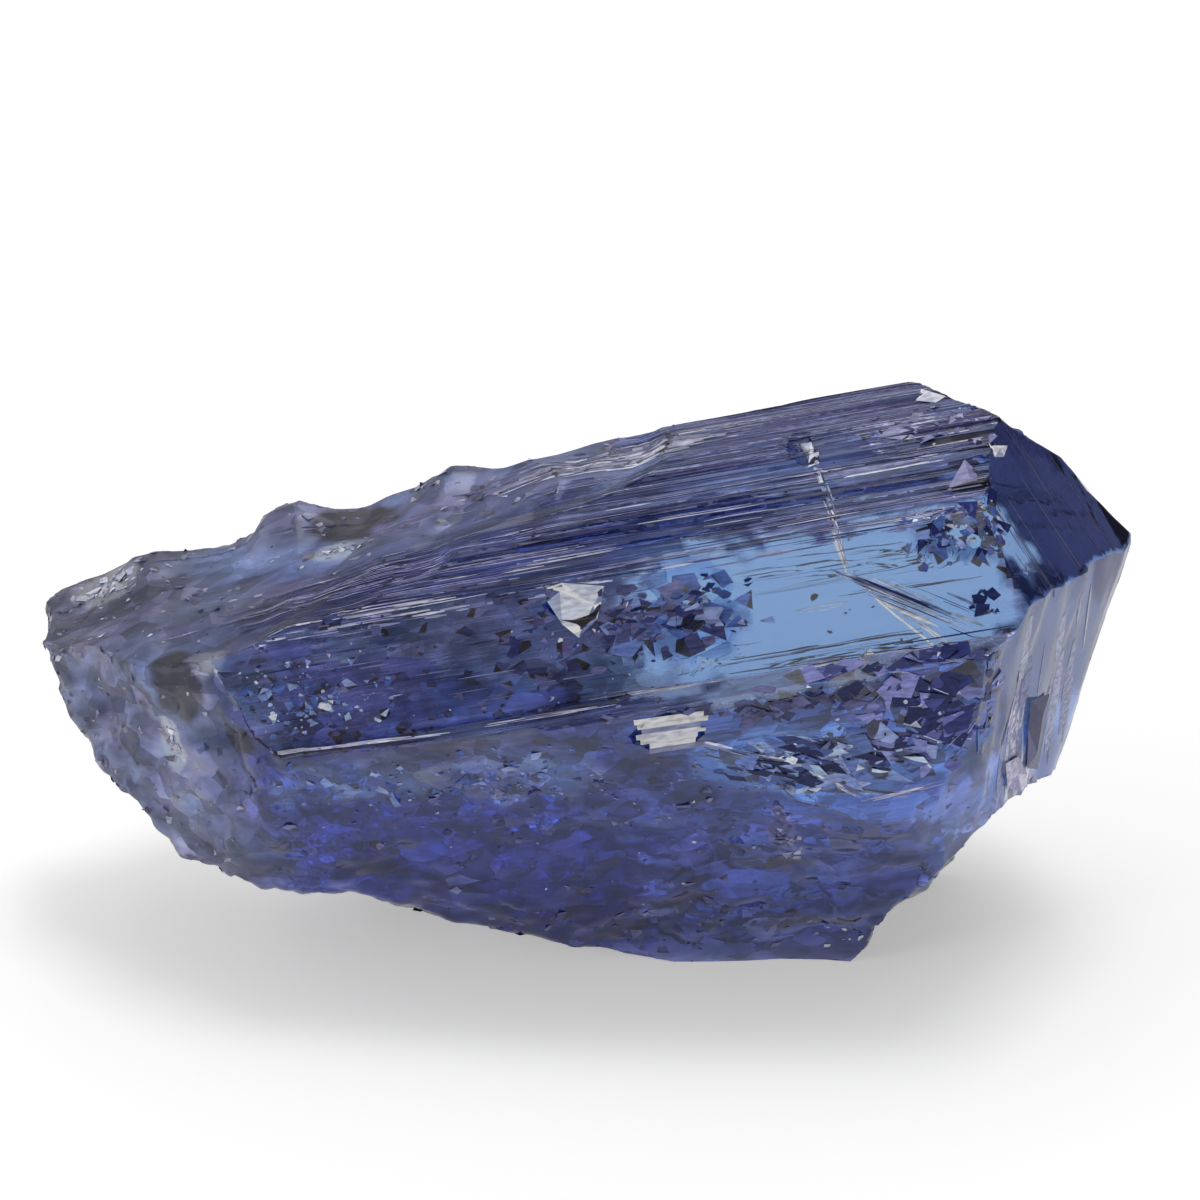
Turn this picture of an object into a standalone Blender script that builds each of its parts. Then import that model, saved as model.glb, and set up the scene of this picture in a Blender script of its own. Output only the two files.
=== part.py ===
"""A rough tanzanite crystal: one long striated prism with a wedge-shaped tip at its right end and a
milky, broken root at its left end. It leans back on a flat worn spot under its belly.

The growth faces are a striated section drawn along the crystal's axis. Every broken or tip face is
then struck off with a block whose inner side carries that face's own relief.

Metres, +Z up. The origin is under the middle of the crystal's box, on the surface that it rests on.
Sizes below are in millimetres and degrees, and MM turns them into metres.
"""

import math
import random

import bmesh
import bpy
from mathutils import Vector, noise

MM = 0.001

# The prism. Its long axis climbs towards the tip, and faces are placed from a centre on that axis.
PITCH = 10.6
CENTRE = Vector((0.165, 0.24, 3.81))
PRISM_START = -10.8
PRISM_END = 10.8
STATIONS = 25

# Directions: along the axis, out of the front of the crystal, and up across it.
ALONG = Vector((math.cos(math.radians(PITCH)), 0.0, math.sin(math.radians(PITCH))))
FRONT = Vector((0.0, -1.0, 0.0))
ACROSS = FRONT.cross(ALONG)

# The cross section, from the back of the crest over the front to the belly and round again: each
# corner's place (front, up), then how many growth ridges the face after it has, and how high.
SECTION = (
    ("crest face", -0.50, 5.06, 2, 0.06),
    ("upper striated face", 1.00, 4.93, 8, 0.11),
    ("window face", 3.20, 4.06, 3, 0.04),
    ("ledge", 4.22, 2.20, 1, 0.04),
    ("lower face", 4.78, 2.08, 4, 0.06),
    ("front foot", 4.50, -0.60, 2, 0.05),
    ("belly", 3.60, -5.20, 1, 0.00),
    ("lower back face", -1.60, -5.40, 3, 0.08),
    ("back window face", -2.10, -0.90, 2, 0.05),
    ("upper back face", -4.30, 3.16, 6, 0.10),
)

# The stone's colour, linear, and how rough its surface is.
STONE_COLOUR = (0.085, 0.094, 0.215, 1.0)
STONE_ROUGHNESS = 0.18

# How the ridges fade in and out along the crystal: the length of a fade, the usual and the least
# strength of a ridge and how far it swings, and how unlike its neighbour it is.
RIDGE_LENGTH = 4.5
RIDGE_USUAL = 0.5
RIDGE_LEAST = 0.15
RIDGE_SWING = 1.4
RIDGE_APART = 3.7
RIDGE_SEED = 7

# Finer relief on the broken and fluted faces: how much finer than the coarse relief, and how high
# beside it. Each finer layer takes its noise this far from the coarse one.
LUMP_FINER = 2.6
FLUTE_FINER = 2.3
FINER_HEIGHT = 0.5
FINER_APART = {"lumps": 9.0, "flutes": 4.0, "treads": 2.0}

# Treads of a splintered face: how many heights they take, how much closer they lie across the
# grain, the share of a tread that is flat, and the fine roughness on it.
TREAD_HEIGHTS = 2.5
TREAD_CLOSER = 2.0
TREAD_FLAT = 0.7
TREAD_ROUGHNESS = 0.25
TREAD_FINER = 3.0
LIP_WIDTH = 0.35


def growth_ridges(count, height, rng):
    """Places along a face, from 0 to 1, with a height each: a slow climb, then a short drop."""
    places = []
    for index in range(count):
        foot = (index + rng.uniform(0.05, 0.30)) / count
        brow = (index + rng.uniform(0.70, 0.92)) / count
        places.append((foot, 0.0))
        places.append((brow, height * rng.uniform(0.5, 1.0)))
    return places


def section_points():
    """The section's outline: each point with the way out of its face and the height of its ridge."""
    rng = random.Random(RIDGE_SEED)
    points = []
    for index, (_, front, up, ridges, height) in enumerate(SECTION):
        _, next_front, next_up, _, _ = SECTION[(index + 1) % len(SECTION)]
        corner = Vector((front, up))
        side = Vector((next_front, next_up)) - corner
        outward = Vector((-side.y, side.x)).normalized()
        points.append((corner, outward, 0.0))
        for place, lift in growth_ridges(ridges, height, rng):
            points.append((corner + side * place, outward, lift))
    return points


def striated_prism():
    """The prism before it is broken off, a loft of the section with ridges that fade in and out."""
    shape = bmesh.new()
    outline = section_points()
    rings = []
    for station in range(STATIONS):
        along = PRISM_START + (PRISM_END - PRISM_START) * station / (STATIONS - 1)
        ring = []
        for number, (place, outward, lift) in enumerate(outline):
            drift = noise.noise(Vector((along / RIDGE_LENGTH, number * RIDGE_APART, 0.0)))
            strength = min(max(RIDGE_USUAL + RIDGE_SWING * drift, RIDGE_LEAST), 1.0)
            spot = place + outward * lift * strength
            point = CENTRE + ALONG * along + FRONT * spot.x + ACROSS * spot.y
            ring.append(shape.verts.new(point * MM))
        rings.append(ring)
    for ring, following in zip(rings, rings[1:]):
        for index, vert in enumerate(ring):
            after = (index + 1) % len(ring)
            shape.faces.new((vert, ring[after], following[after], following[index]))
    shape.faces.new(rings[0])
    shape.faces.new(rings[-1])
    return finished(shape, "tanzanite_crystal")


def finished(shape, name):
    """An object from a bmesh, with its faces turned outwards."""
    bmesh.ops.recalc_face_normals(shape, faces=shape.faces)
    mesh = bpy.data.meshes.new(name)
    shape.to_mesh(mesh)
    shape.free()
    return bpy.data.objects.new(name, mesh)


def direction(along, front, across):
    """A direction from its parts along the axis, out of the front, and up across the crystal."""
    return (ALONG * along + FRONT * front + ACROSS * across).normalized()


def face_normal(turn, lean):
    """A face's outward direction: its turn about the axis from the front, and its lean to the tip."""
    turn, lean = math.radians(turn), math.radians(lean)
    return direction(
        math.sin(lean), math.cos(turn) * math.cos(lean), math.sin(turn) * math.cos(lean)
    )


def crumbled(size, height, seed, knobs=()):
    """Relief of a crumbled face: rounded lumps of about this size, smaller ones on them, and knobs
    with a place of their own, each (along the grain, across it, radius, height)."""

    def relief(u, v):
        coarse = noise.noise(Vector((u / size, v / size, seed)))
        finer = Vector((u * LUMP_FINER / size, v * LUMP_FINER / size, seed + FINER_APART["lumps"]))
        lift = height * (coarse + FINER_HEIGHT * noise.noise(finer))
        for along, across, radius, rise in knobs:
            near = ((u - along) ** 2 + (v - across) ** 2) / radius**2
            lift += rise * math.exp(-near)
        return lift

    return relief


def fluted(spacing, depth, fade, seed):
    """Relief of a striated face: grooves that run with the grain and die out along it."""

    def relief(u, v):
        broad = noise.noise(Vector((u / fade, v / spacing, seed)))
        finer = Vector((u / fade, v * FLUTE_FINER / spacing, seed + FINER_APART["flutes"]))
        return depth * (broad + FINER_HEIGHT * noise.noise(finer))

    return relief


def stepped(spacing, height, seed):
    """Relief of a splintered face: flat treads with short risers between them."""

    def relief(u, v):
        level = TREAD_HEIGHTS * noise.noise(Vector((u / spacing, v * TREAD_CLOSER / spacing, seed)))
        tread = math.floor(level)
        riser = min(max((level - tread - TREAD_FLAT) / (1.0 - TREAD_FLAT), 0.0), 1.0)
        finer = Vector((u, v, 0.0)) * TREAD_FINER / spacing
        finer.z = seed + FINER_APART["treads"]
        return height * (tread + riser) + TREAD_ROUGHNESS * height * noise.noise(finer)

    return relief


def overhung(under, brink, rise):
    """A face's relief with a lip over it: past the brink, the stone stands out by the rise."""

    def relief(u, v):
        lip = min(max((u - brink) / LIP_WIDTH + 0.5, 0.0), 1.0)
        return under(u, v) + rise * lip

    return relief


# The faces struck off the prism, in the order that they broke. Each has its turn about the axis,
# its lean to the tip and its reach from the centre, then the way its grain runs, the spacing of
# its relief along the grain and across it, and the relief.
BROKEN_FACES = {
    "belly_front": (
        -19.4, -4.4, 3.80, (1, 0, 0), 0.70, 0.65, crumbled(2.2, 0.18, 6.0, ((5.2, 1.9, 1.8, 0.28),)),
    ),
    "root_front": (15.3, -36.9, 6.94, (0, 0, 1), 0.50, 0.50, crumbled(1.6, 0.30, 11.0)),
    "root_front_low": (-3.1, -35.9, 6.39, (0, 0, 1), 0.50, 0.50, crumbled(1.6, 0.30, 19.0)),
    "root_top": (
        86.0, -7.0, 4.71, (1, 0, 0), 0.45, 0.55,
        crumbled(1.5, 0.20, 13.0, ((-7.0, 1.2, 0.8, 0.25), (-4.2, 1.2, 0.7, 0.50),
                                  (-1.0, 1.2, 0.6, 0.40))),
    ),
    "root_crest": (
        120.1, -4.9, 4.48, (1, 0, 0), 0.50, 0.60,
        crumbled(1.5, 0.16, 14.0, ((-7.2, -1.5, 0.8, 0.25), (-4.3, -1.5, 0.7, 0.50),
                                   (-1.1, -1.5, 0.6, 0.40), (0.3, -1.5, 0.6, -0.15))),
    ),
    "root_corner": (-76.9, -62.1, 7.25, (0, 1, 0), 0.60, 0.60, crumbled(1.5, 0.26, 23.0)),
    "root_under": (-70.6, -23.0, 4.04, (1, 0, 0), 0.80, 0.80, crumbled(2.0, 0.22, 29.0)),
    "root_end": (-21.2, -83.6, 9.28, (0, 0, 1), 0.60, 0.60, crumbled(1.7, 0.30, 17.0)),
    "root_facet": (93.8, -16.0, 6.15, (1, 0, 0), 0.60, 0.60, crumbled(1.5, 0.05, 41.0)),
    "root_back": (190.0, -30.0, 5.30, (0, 0, 1), 0.70, 0.70, crumbled(1.9, 0.35, 31.0)),
    "back_break": (208.4, -7.0, 2.10, (1, 0, 0), 0.70, 0.70, crumbled(1.9, 0.30, 37.0)),
    "tip_upper": (48.9, 50.1, 9.16, (0.42, 0.57, -0.70), 3.0, 0.34, fluted(0.6, 0.06, 9.0, 1.0)),
    "tip_lower": (-26.3, 49.8, 7.77, (-0.41, 0.12, -0.90), 2.0, 0.30, fluted(0.9, 0.16, 9.0, 5.0)),
    "tip_shoulder": (117.2, 38.4, 8.05, (0.3, -0.6, -0.7), 0.6, 0.40, crumbled(0.9, 0.10, 2.0)),
    "tip_back": (108.8, 57.4, 9.54, (0.2, -0.7, -0.7), 1.5, 0.50, fluted(1.0, 0.08, 7.0, 7.0)),
    "tip_far_back": (165.0, 44.0, 7.50, (0.2, -0.7, -0.7), 1.5, 0.60, fluted(1.1, 0.14, 7.0, 8.0)),
    "tip_back_lower": (
        -107.3, 60.6, 7.98, (-0.41, -0.12, -0.90), 2.0, 0.50, fluted(1.0, 0.12, 7.0, 8.0),
    ),
    "right_splinter": (
        -27.0, 31.0, 6.80, (-0.43, -0.31, -0.85), 1.2, 0.36, fluted(0.8, 0.15, 5.0, 2.0),
    ),
    "right_corner": (
        -62.0, 38.0, 6.72, (0.694, 0.163, 0.701), 0.38, 0.55,
        overhung(stepped(1.4, 0.14, 4.0), 4.46, 0.7),
    ),
}
BLOCK_SIDE = 26.0
BLOCK_DEPTH = 9.0
GROUND_SIDE = 31.2

# How far the points of a break stray from an even grid, as a share of its spacing, and how soon
# the stray changes from one point to the next.
JITTER = 0.45
JITTER_CHANGE = 2.0


def breaking_block(name, turn, lean, reach, grain, spacing_along, spacing_across, relief):
    """The block that strikes a face off. Its inner side has the relief that the break leaves."""
    normal = face_normal(turn, lean)
    grain = direction(*grain)
    u_axis = (grain - normal * grain.dot(normal)).normalized()
    v_axis = normal.cross(u_axis)
    origin = CENTRE + normal * reach
    cells_along = round(BLOCK_SIDE / spacing_along)
    cells_across = round(BLOCK_SIDE / spacing_across)
    shape = bmesh.new()
    grid = bmesh.ops.create_grid(
        shape, x_segments=cells_along, y_segments=cells_across, size=BLOCK_SIDE / 2
    )
    for vert in grid["verts"]:
        stray = noise.noise_vector(vert.co * JITTER_CHANGE / spacing_across)
        u = vert.co.x + JITTER * spacing_along * stray.x
        v = vert.co.y + JITTER * spacing_across * stray.y
        vert.co = (origin + u_axis * u + v_axis * v + normal * relief(u, v)) * MM
    outer = bmesh.ops.extrude_face_region(shape, geom=shape.faces[:])["geom"]
    for vert in outer:
        if isinstance(vert, bmesh.types.BMVert):
            height = (vert.co / MM - origin).dot(normal)
            vert.co += normal * (BLOCK_DEPTH - height) * MM
    return finished(shape, name)


# Chips out of the growth faces: the middle of each (along, front, up), the turn of its face, its
# length, its width and its depth.
CHIPS = {
    "window_notch": ((0.50, 3.38, 3.72), 34.0, 1.00, 0.80, 0.34),
    "ledge_chip": ((1.72, 4.74, 1.62), 8.0, 1.50, 0.85, 0.36),
    "crest_groove": ((4.75, 1.05, 4.93), 68.0, 0.50, 1.40, 0.26),
}
CHIP_UNEVENNESS = 0.16
CHIP_FACETING = 3.0


def chip(name, middle, turn, length, width, depth):
    """The flake that left a chip: a flat pebble with a few facets."""
    normal = face_normal(turn, 0.0)
    across = normal.cross(ALONG)
    centre = CENTRE + ALONG * middle[0] + FRONT * middle[1] + ACROSS * middle[2]
    shape = bmesh.new()
    pebble = bmesh.ops.create_icosphere(shape, subdivisions=1, radius=0.5)
    for vert in pebble["verts"]:
        spot = vert.co + noise.noise_vector(vert.co * CHIP_FACETING + centre) * CHIP_UNEVENNESS
        offset = ALONG * spot.x * length + across * spot.y * width + normal * spot.z * depth * 2
        vert.co = (centre + offset) * MM
    return finished(shape, name)


def floor_block():
    """The ground under the stone, which takes off whatever reaches below the worn spot."""
    shape = bmesh.new()
    bmesh.ops.create_cube(shape, size=GROUND_SIDE * MM)
    bmesh.ops.translate(shape, vec=(0, 0, -GROUND_SIDE / 2 * MM), verts=shape.verts)
    return finished(shape, "worn_spot")


def clear_stone():
    """Blue-violet stone with a glassy surface."""
    material = bpy.data.materials.new("tanzanite")
    material.use_nodes = True
    surface = material.node_tree.nodes["Principled BSDF"]
    surface.inputs["Base Color"].default_value = STONE_COLOUR
    surface.inputs["Roughness"].default_value = STONE_ROUGHNESS
    surface.inputs["Metallic"].default_value = 0.0
    return material


def new_collection(name):
    made = bpy.data.collections.new(name)
    bpy.context.scene.collection.children.link(made)
    return made


def main():
    for old in list(bpy.data.objects):
        bpy.data.objects.remove(old)
    crystal = new_collection("rough tanzanite")
    blocks = new_collection("breaking blocks")
    stone = striated_prism()
    stone.data.materials.append(clear_stone())
    crystal.objects.link(stone)
    for name, face in BROKEN_FACES.items():
        blocks.objects.link(breaking_block(name, *face))
    for name, flake in CHIPS.items():
        blocks.objects.link(chip(name, *flake))
    blocks.objects.link(floor_block())
    for block in blocks.objects:
        block.hide_render = True
        block.display_type = "WIRE"
        # EXACT loses the stone where several of these uneven faces meet in one corner.
        struck = stone.modifiers.new(block.name, "BOOLEAN")
        struck.operation = "DIFFERENCE"
        struck.solver = "MANIFOLD"
        struck.object = block


main()
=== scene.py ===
import math
import random

import bmesh
import bpy
import numpy as np
from mathutils import Matrix, Vector, noise
from mathutils.bvhtree import BVHTree


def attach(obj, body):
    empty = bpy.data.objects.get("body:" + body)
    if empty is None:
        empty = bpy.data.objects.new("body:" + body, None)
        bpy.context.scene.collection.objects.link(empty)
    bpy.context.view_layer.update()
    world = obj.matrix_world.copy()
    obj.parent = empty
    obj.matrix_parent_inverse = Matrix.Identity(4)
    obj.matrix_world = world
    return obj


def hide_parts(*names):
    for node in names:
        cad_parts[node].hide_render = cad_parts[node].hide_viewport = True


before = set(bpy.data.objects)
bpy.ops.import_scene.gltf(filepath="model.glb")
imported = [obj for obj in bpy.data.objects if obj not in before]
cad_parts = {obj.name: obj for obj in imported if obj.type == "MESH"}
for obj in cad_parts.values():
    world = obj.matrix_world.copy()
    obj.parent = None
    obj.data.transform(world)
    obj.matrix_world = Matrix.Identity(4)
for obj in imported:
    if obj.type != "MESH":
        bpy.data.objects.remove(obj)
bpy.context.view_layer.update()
mm = 0.001


# Crystal axes: x along the crystal to its tip, y to the back, z up across it. In millimetres.
crystal = {
    "pitch": 10.6,
    "centre": (0.165, 0.24, 3.81),
    "section": {  # each growth face starts at this corner (front, up) and runs to the next
        "crest": (-0.50, 5.06),
        "upper": (1.00, 4.93),
        "window": (3.20, 4.06),
        "ledge": (4.22, 2.20),
        "lower": (4.78, 2.08),
        "foot": (4.50, -0.60),
        "belly": (3.60, -5.20),
        "lowerBack": (-1.60, -5.40),
        "backWindow": (-2.10, -0.90),
        "upperBack": (-4.30, 3.16),
    },
    "tips": {  # turn about the axis, lean to the tip, distance from the centre
        "tipUpper": (48.9, 50.1, 9.16),
        "tipLower": (-26.3, 49.8, 7.77),
        "splinter": (-27.0, 31.0, 6.80),
        "tipBack": (108.8, 57.4, 9.54),
        "tipFarBack": (165.0, 44.0, 7.50),
        "tipUnder": (-107.3, 60.6, 7.98),
    },
}

pitch = math.radians(crystal["pitch"])
toCrystal = Matrix.Rotation(pitch, 4, "Y") @ Matrix.Translation(-Vector(crystal["centre"]))
toWorld = toCrystal.inverted()


def smooth(value, low, high):
    share = np.clip((value - low) / (high - low), 0, 1)
    return share * share * (3 - 2 * share)


def noiseAt(points, scale, seed):
    offset = Vector((seed * 3.1, seed * 1.7, seed * 0.9))
    return np.array([noise.noise(Vector(p) + offset) for p in (points * scale).tolist()])


def faceNormal(turn, lean):
    turn, lean = math.radians(turn), math.radians(lean)
    return np.array((math.sin(lean), -math.cos(turn) * math.cos(lean), math.sin(turn) * math.cos(lean)))


def growthFaces():
    corners = list(crystal["section"].values())
    found = {}
    for index, name in enumerate(crystal["section"]):
        a = np.array(corners[index])
        b = np.array(corners[(index + 1) % len(corners)])
        along = b - a
        out = np.array((-along[1], along[0])) / np.linalg.norm(along)
        found[name] = (np.array((0.0, -out[0], out[1])), float(out @ a))
    return found


def refinedCrystal(depth):
    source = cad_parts["tanzanite_crystal"]
    shape = bmesh.new()
    shape.from_mesh(source.data)
    bmesh.ops.scale(shape, vec=(1 / mm,) * 3, verts=shape.verts)
    bmesh.ops.transform(shape, matrix=toCrystal, verts=shape.verts)
    bmesh.ops.remove_doubles(shape, verts=shape.verts, dist=0.0005)
    mesh = bpy.data.meshes.new("coarse")
    shape.to_mesh(mesh)
    shape.free()
    holder = bpy.data.objects.new("coarse", mesh)
    bpy.context.scene.collection.objects.link(holder)
    remesh = holder.modifiers.new("fine", "REMESH")
    remesh.mode = "SHARP"
    remesh.octree_depth = depth
    remesh.scale = 0.9
    remesh.sharpness = 1.0
    remesh.use_remove_disconnected = False
    graph = bpy.context.evaluated_depsgraph_get()
    fine = bpy.data.meshes.new_from_object(holder.evaluated_get(graph))
    bpy.data.objects.remove(holder)
    bpy.data.meshes.remove(mesh)
    return fine


def readMesh(mesh):
    points = np.empty(len(mesh.vertices) * 3)
    mesh.vertices.foreach_get("co", points)
    normals = np.empty(len(mesh.vertices) * 3)
    mesh.vertex_normals.foreach_get("vector", normals)
    edges = np.empty(len(mesh.edges) * 2, np.int64)
    mesh.edges.foreach_get("vertices", edges)
    return points.reshape(-1, 3), normals.reshape(-1, 3), edges.reshape(-1, 2)


def neighbourMean(values, edges, degree):
    total = np.zeros_like(values)
    for column in range(values.shape[1]):
        total[:, column] = np.bincount(edges[:, 0], values[edges[:, 1], column], len(values))
        total[:, column] += np.bincount(edges[:, 1], values[edges[:, 0], column], len(values))
    return total / degree[:, None]


# How the surface is worked over. Heights and sizes in millimetres.
surface = {
    "octreeDepth": 8,
    "rounding": 24,
    "lineHeight": 0.020,
    "lineWidth": 0.17,
    "lineLength": 3.5,
    "breakHeight": 0.085,
    "breakSize": 0.9,
    "grainHeight": 0.028,
    "grainSize": 0.32,
    "facetHeight": 0.075,
    "facetSize": 0.62,
    "nuggetHeight": 0.16,
    "nuggetSize": 0.5,
}

mesh = refinedCrystal(surface["octreeDepth"])
points, normals, edges = readMesh(mesh)
degree = np.maximum(np.bincount(edges.ravel(), minlength=len(points)), 1)
print("refined crystal:", len(points), "points")

weights = {}
for name, (normal, reach) in growthFaces().items():
    height = points @ normal - reach
    facing = normals @ normal
    weights[name] = smooth(height, -0.07, -0.02) * smooth(facing, 0.6, 0.85)
for name, (turn, lean, reach) in crystal["tips"].items():
    normal = faceNormal(turn, lean)
    height = points @ normal - reach
    facing = normals @ normal
    weights[name] = smooth(height, -0.25, -0.15) * smooth(facing, 0.75, 0.92)
prism = np.max([weights[name] for name in crystal["section"]], axis=0)
tip = np.max([weights[name] for name in crystal["tips"]], axis=0)
grown = np.maximum(prism, tip)
floorHeight = points @ np.array((math.sin(pitch), 0, math.cos(pitch))) + crystal["centre"][2]
offFloor = smooth(floorHeight, 0.02, 0.25)
broken = (1 - grown) * offFloor
print("growth faces cover", round(float(grown.mean()), 3), "of it")

# Broken faces lose the sharp corners that the coarse solid has.
crumbled = broken * smooth(points[:, 0], -2.0, -5.5)
for step in range(surface["rounding"]):
    mean = neighbourMean(points, edges, degree)
    share = 0.6 * (broken if step < surface["rounding"] / 4 else crumbled)
    points = points + (mean - points) * share[:, None]


def facetsAt(points, size, seed):
    heights = np.empty(len(points))
    offset = Vector((seed * 2.3, seed * 0.7, seed * 1.9))
    shifts = Vector((9.3, -1.5, -7.9)), Vector((-3.1, 6.7, 2.9)), Vector((4.9, 8.3, -5.3))
    leans = {}
    for index, point in enumerate((points / size).tolist()):
        point = Vector(point) + offset
        options = []
        for cell in noise.voronoi(point)[1]:
            key = cell.to_tuple()
            if key not in leans:  # noise_vector isn't used, because it changes from run to run
                leans[key] = (0.5 * noise.noise(cell * 11.3),
                              Vector([noise.noise(cell * 7.7 + shift) for shift in shifts]))
            rise, lean = leans[key]
            options.append(rise + (point - cell).dot(lean))
        heights[index] = min(options)
    return heights


# Fine growth lines along the prism, lumps, facets and grain on the breaks.
stretched = points * np.array((1 / surface["lineLength"], 1 / surface["lineWidth"], 1 / surface["lineWidth"]))
lines = noiseAt(stretched, 1.0, 1) + 0.5 * noiseAt(stretched * np.array((1.3, 2.1, 2.1)), 1.0, 2)
flutesRun = (-0.236, 0.173, -0.957)
flutes = {
    "tipUpper": {"run": (0.399, -0.257, -0.880), "height": 0.004, "width": 0.12},
    "tipLower": {"run": flutesRun, "height": 0.045, "width": 0.55},
    "splinter": {"run": flutesRun, "height": 0.04, "width": 0.30},
    "tipBack": {"run": (0.30, 0.30, -0.90), "height": 0.012, "width": 0.20},
    "tipFarBack": {"run": (0.30, 0.10, -0.95), "height": 0.02, "width": 0.30},
    "tipUnder": {"run": flutesRun, "height": 0.02, "width": 0.30},
}
fluteLift = np.zeros(len(points))
for seed, (name, flute) in enumerate(flutes.items()):
    run = np.array(flute["run"]) / np.linalg.norm(flute["run"])
    across = np.cross(faceNormal(*crystal["tips"][name][:2]), run)
    ridge = np.column_stack((points @ across / flute["width"], points @ run / 3.0,
                             np.full(len(points), seed * 5.0)))
    fluteLift += flute["height"] * (noiseAt(ridge, 1.0, 8) - 0.2) * weights[name]
lump = noiseAt(points, 1 / surface["breakSize"], 3)
grain = noiseAt(points, 1 / surface["grainSize"], 4)
cut = facetsAt(points, surface["facetSize"], 5)
nuggets = np.array([noise.voronoi(Vector(p) / surface["nuggetSize"])[0][0] for p in points.tolist()])
lineShare = (weights["upper"] + 0.8 * weights["crest"] + 0.15 * weights["window"] + 0.4 * weights["lower"]
             + weights["upperBack"] + 0.1 * weights["backWindow"] + 0.6 * weights["lowerBack"])
lift = surface["lineHeight"] * lines * lineShare + fluteLift
lift += (surface["breakHeight"] * (lump - 0.2) + surface["grainHeight"] * grain
         + surface["facetHeight"] * (cut + 0.3)) * broken
lift += surface["nuggetHeight"] * (0.5 - nuggets) * crumbled
points = points + normals * (lift * offFloor)[:, None]
print("surface relief from", round(float(lift.min()), 3), "to", round(float(lift.max()), 3), "mm")

mesh.vertices.foreach_set("co", points.ravel())
mesh.update()

# What each face looks like: the colour it lends the light that passes, how rough and how frosted it
# is, and how much of it shows growth lines or small shards.
looks = {
    "base": {"tint": (0.045, 0.052, 0.26), "rough": 0.12, "lines": 0.1, "shards": 0.45, "mosaic": 0.40},
    # foot: painted shade, a darker tint on the broken faces towards the bottom of the stone
    "foot": {"tint": (0.014, 0.018, 0.13), "rough": 0.14, "lines": 0.1, "shards": 0.3, "mosaic": 0.35},
    "root": {"tint": (0.28, 0.265, 0.40), "rough": 0.40, "frost": 0.15, "shards": 0.8, "mosaic": 0.35},
    "topBand": {"tint": (0.26, 0.25, 0.38), "rough": 0.35, "frost": 0.22, "lines": 0.15, "shards": 0.6,
                "mosaic": 0.30},
    "crest": {"tint": (0.055, 0.052, 0.11), "rough": 0.10, "lines": 1.0},
    "upper": {"tint": (0.05, 0.050, 0.11), "rough": 0.06, "lines": 1.0},
    "window": {"tint": (0.19, 0.16, 0.18), "rough": 0.04, "frost": 0.07, "lines": 0.25, "shards": 0.15,
               "mosaic": 0.3},
    "ledge": {"tint": (0.05, 0.05, 0.12), "rough": 0.06, "lines": 1.0},
    "lower": {"tint": (0.046, 0.056, 0.18), "rough": 0.08, "lines": 0.2, "shards": 0.35, "mosaic": 0.45},
    "backWindow": {"tint": (0.34, 0.34, 0.46), "rough": 0.05, "lines": 0.3, "shards": 0.1, "mosaic": 0.20},
    "upperBack": {"tint": (0.18, 0.17, 0.28), "rough": 0.10, "frost": 0.02, "lines": 0.9, "mosaic": 0.10},
    "lowerBack": {"tint": (0.18, 0.17, 0.28), "rough": 0.12, "frost": 0.02, "lines": 0.7, "shards": 0.1,
                  "mosaic": 0.30},
    "tipUpper": {"tint": (0.022, 0.016, 0.055), "rough": 0.05, "lines": 0.1, "clear": 0.8},
    "tipLower": {"tint": (0.42, 0.46, 0.80), "rough": 0.20, "frost": 0.13, "clear": 0.9},
    "splinter": {"tint": (0.16, 0.17, 0.42), "rough": 0.12, "frost": 0.04, "mosaic": 0.2},
}
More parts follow.
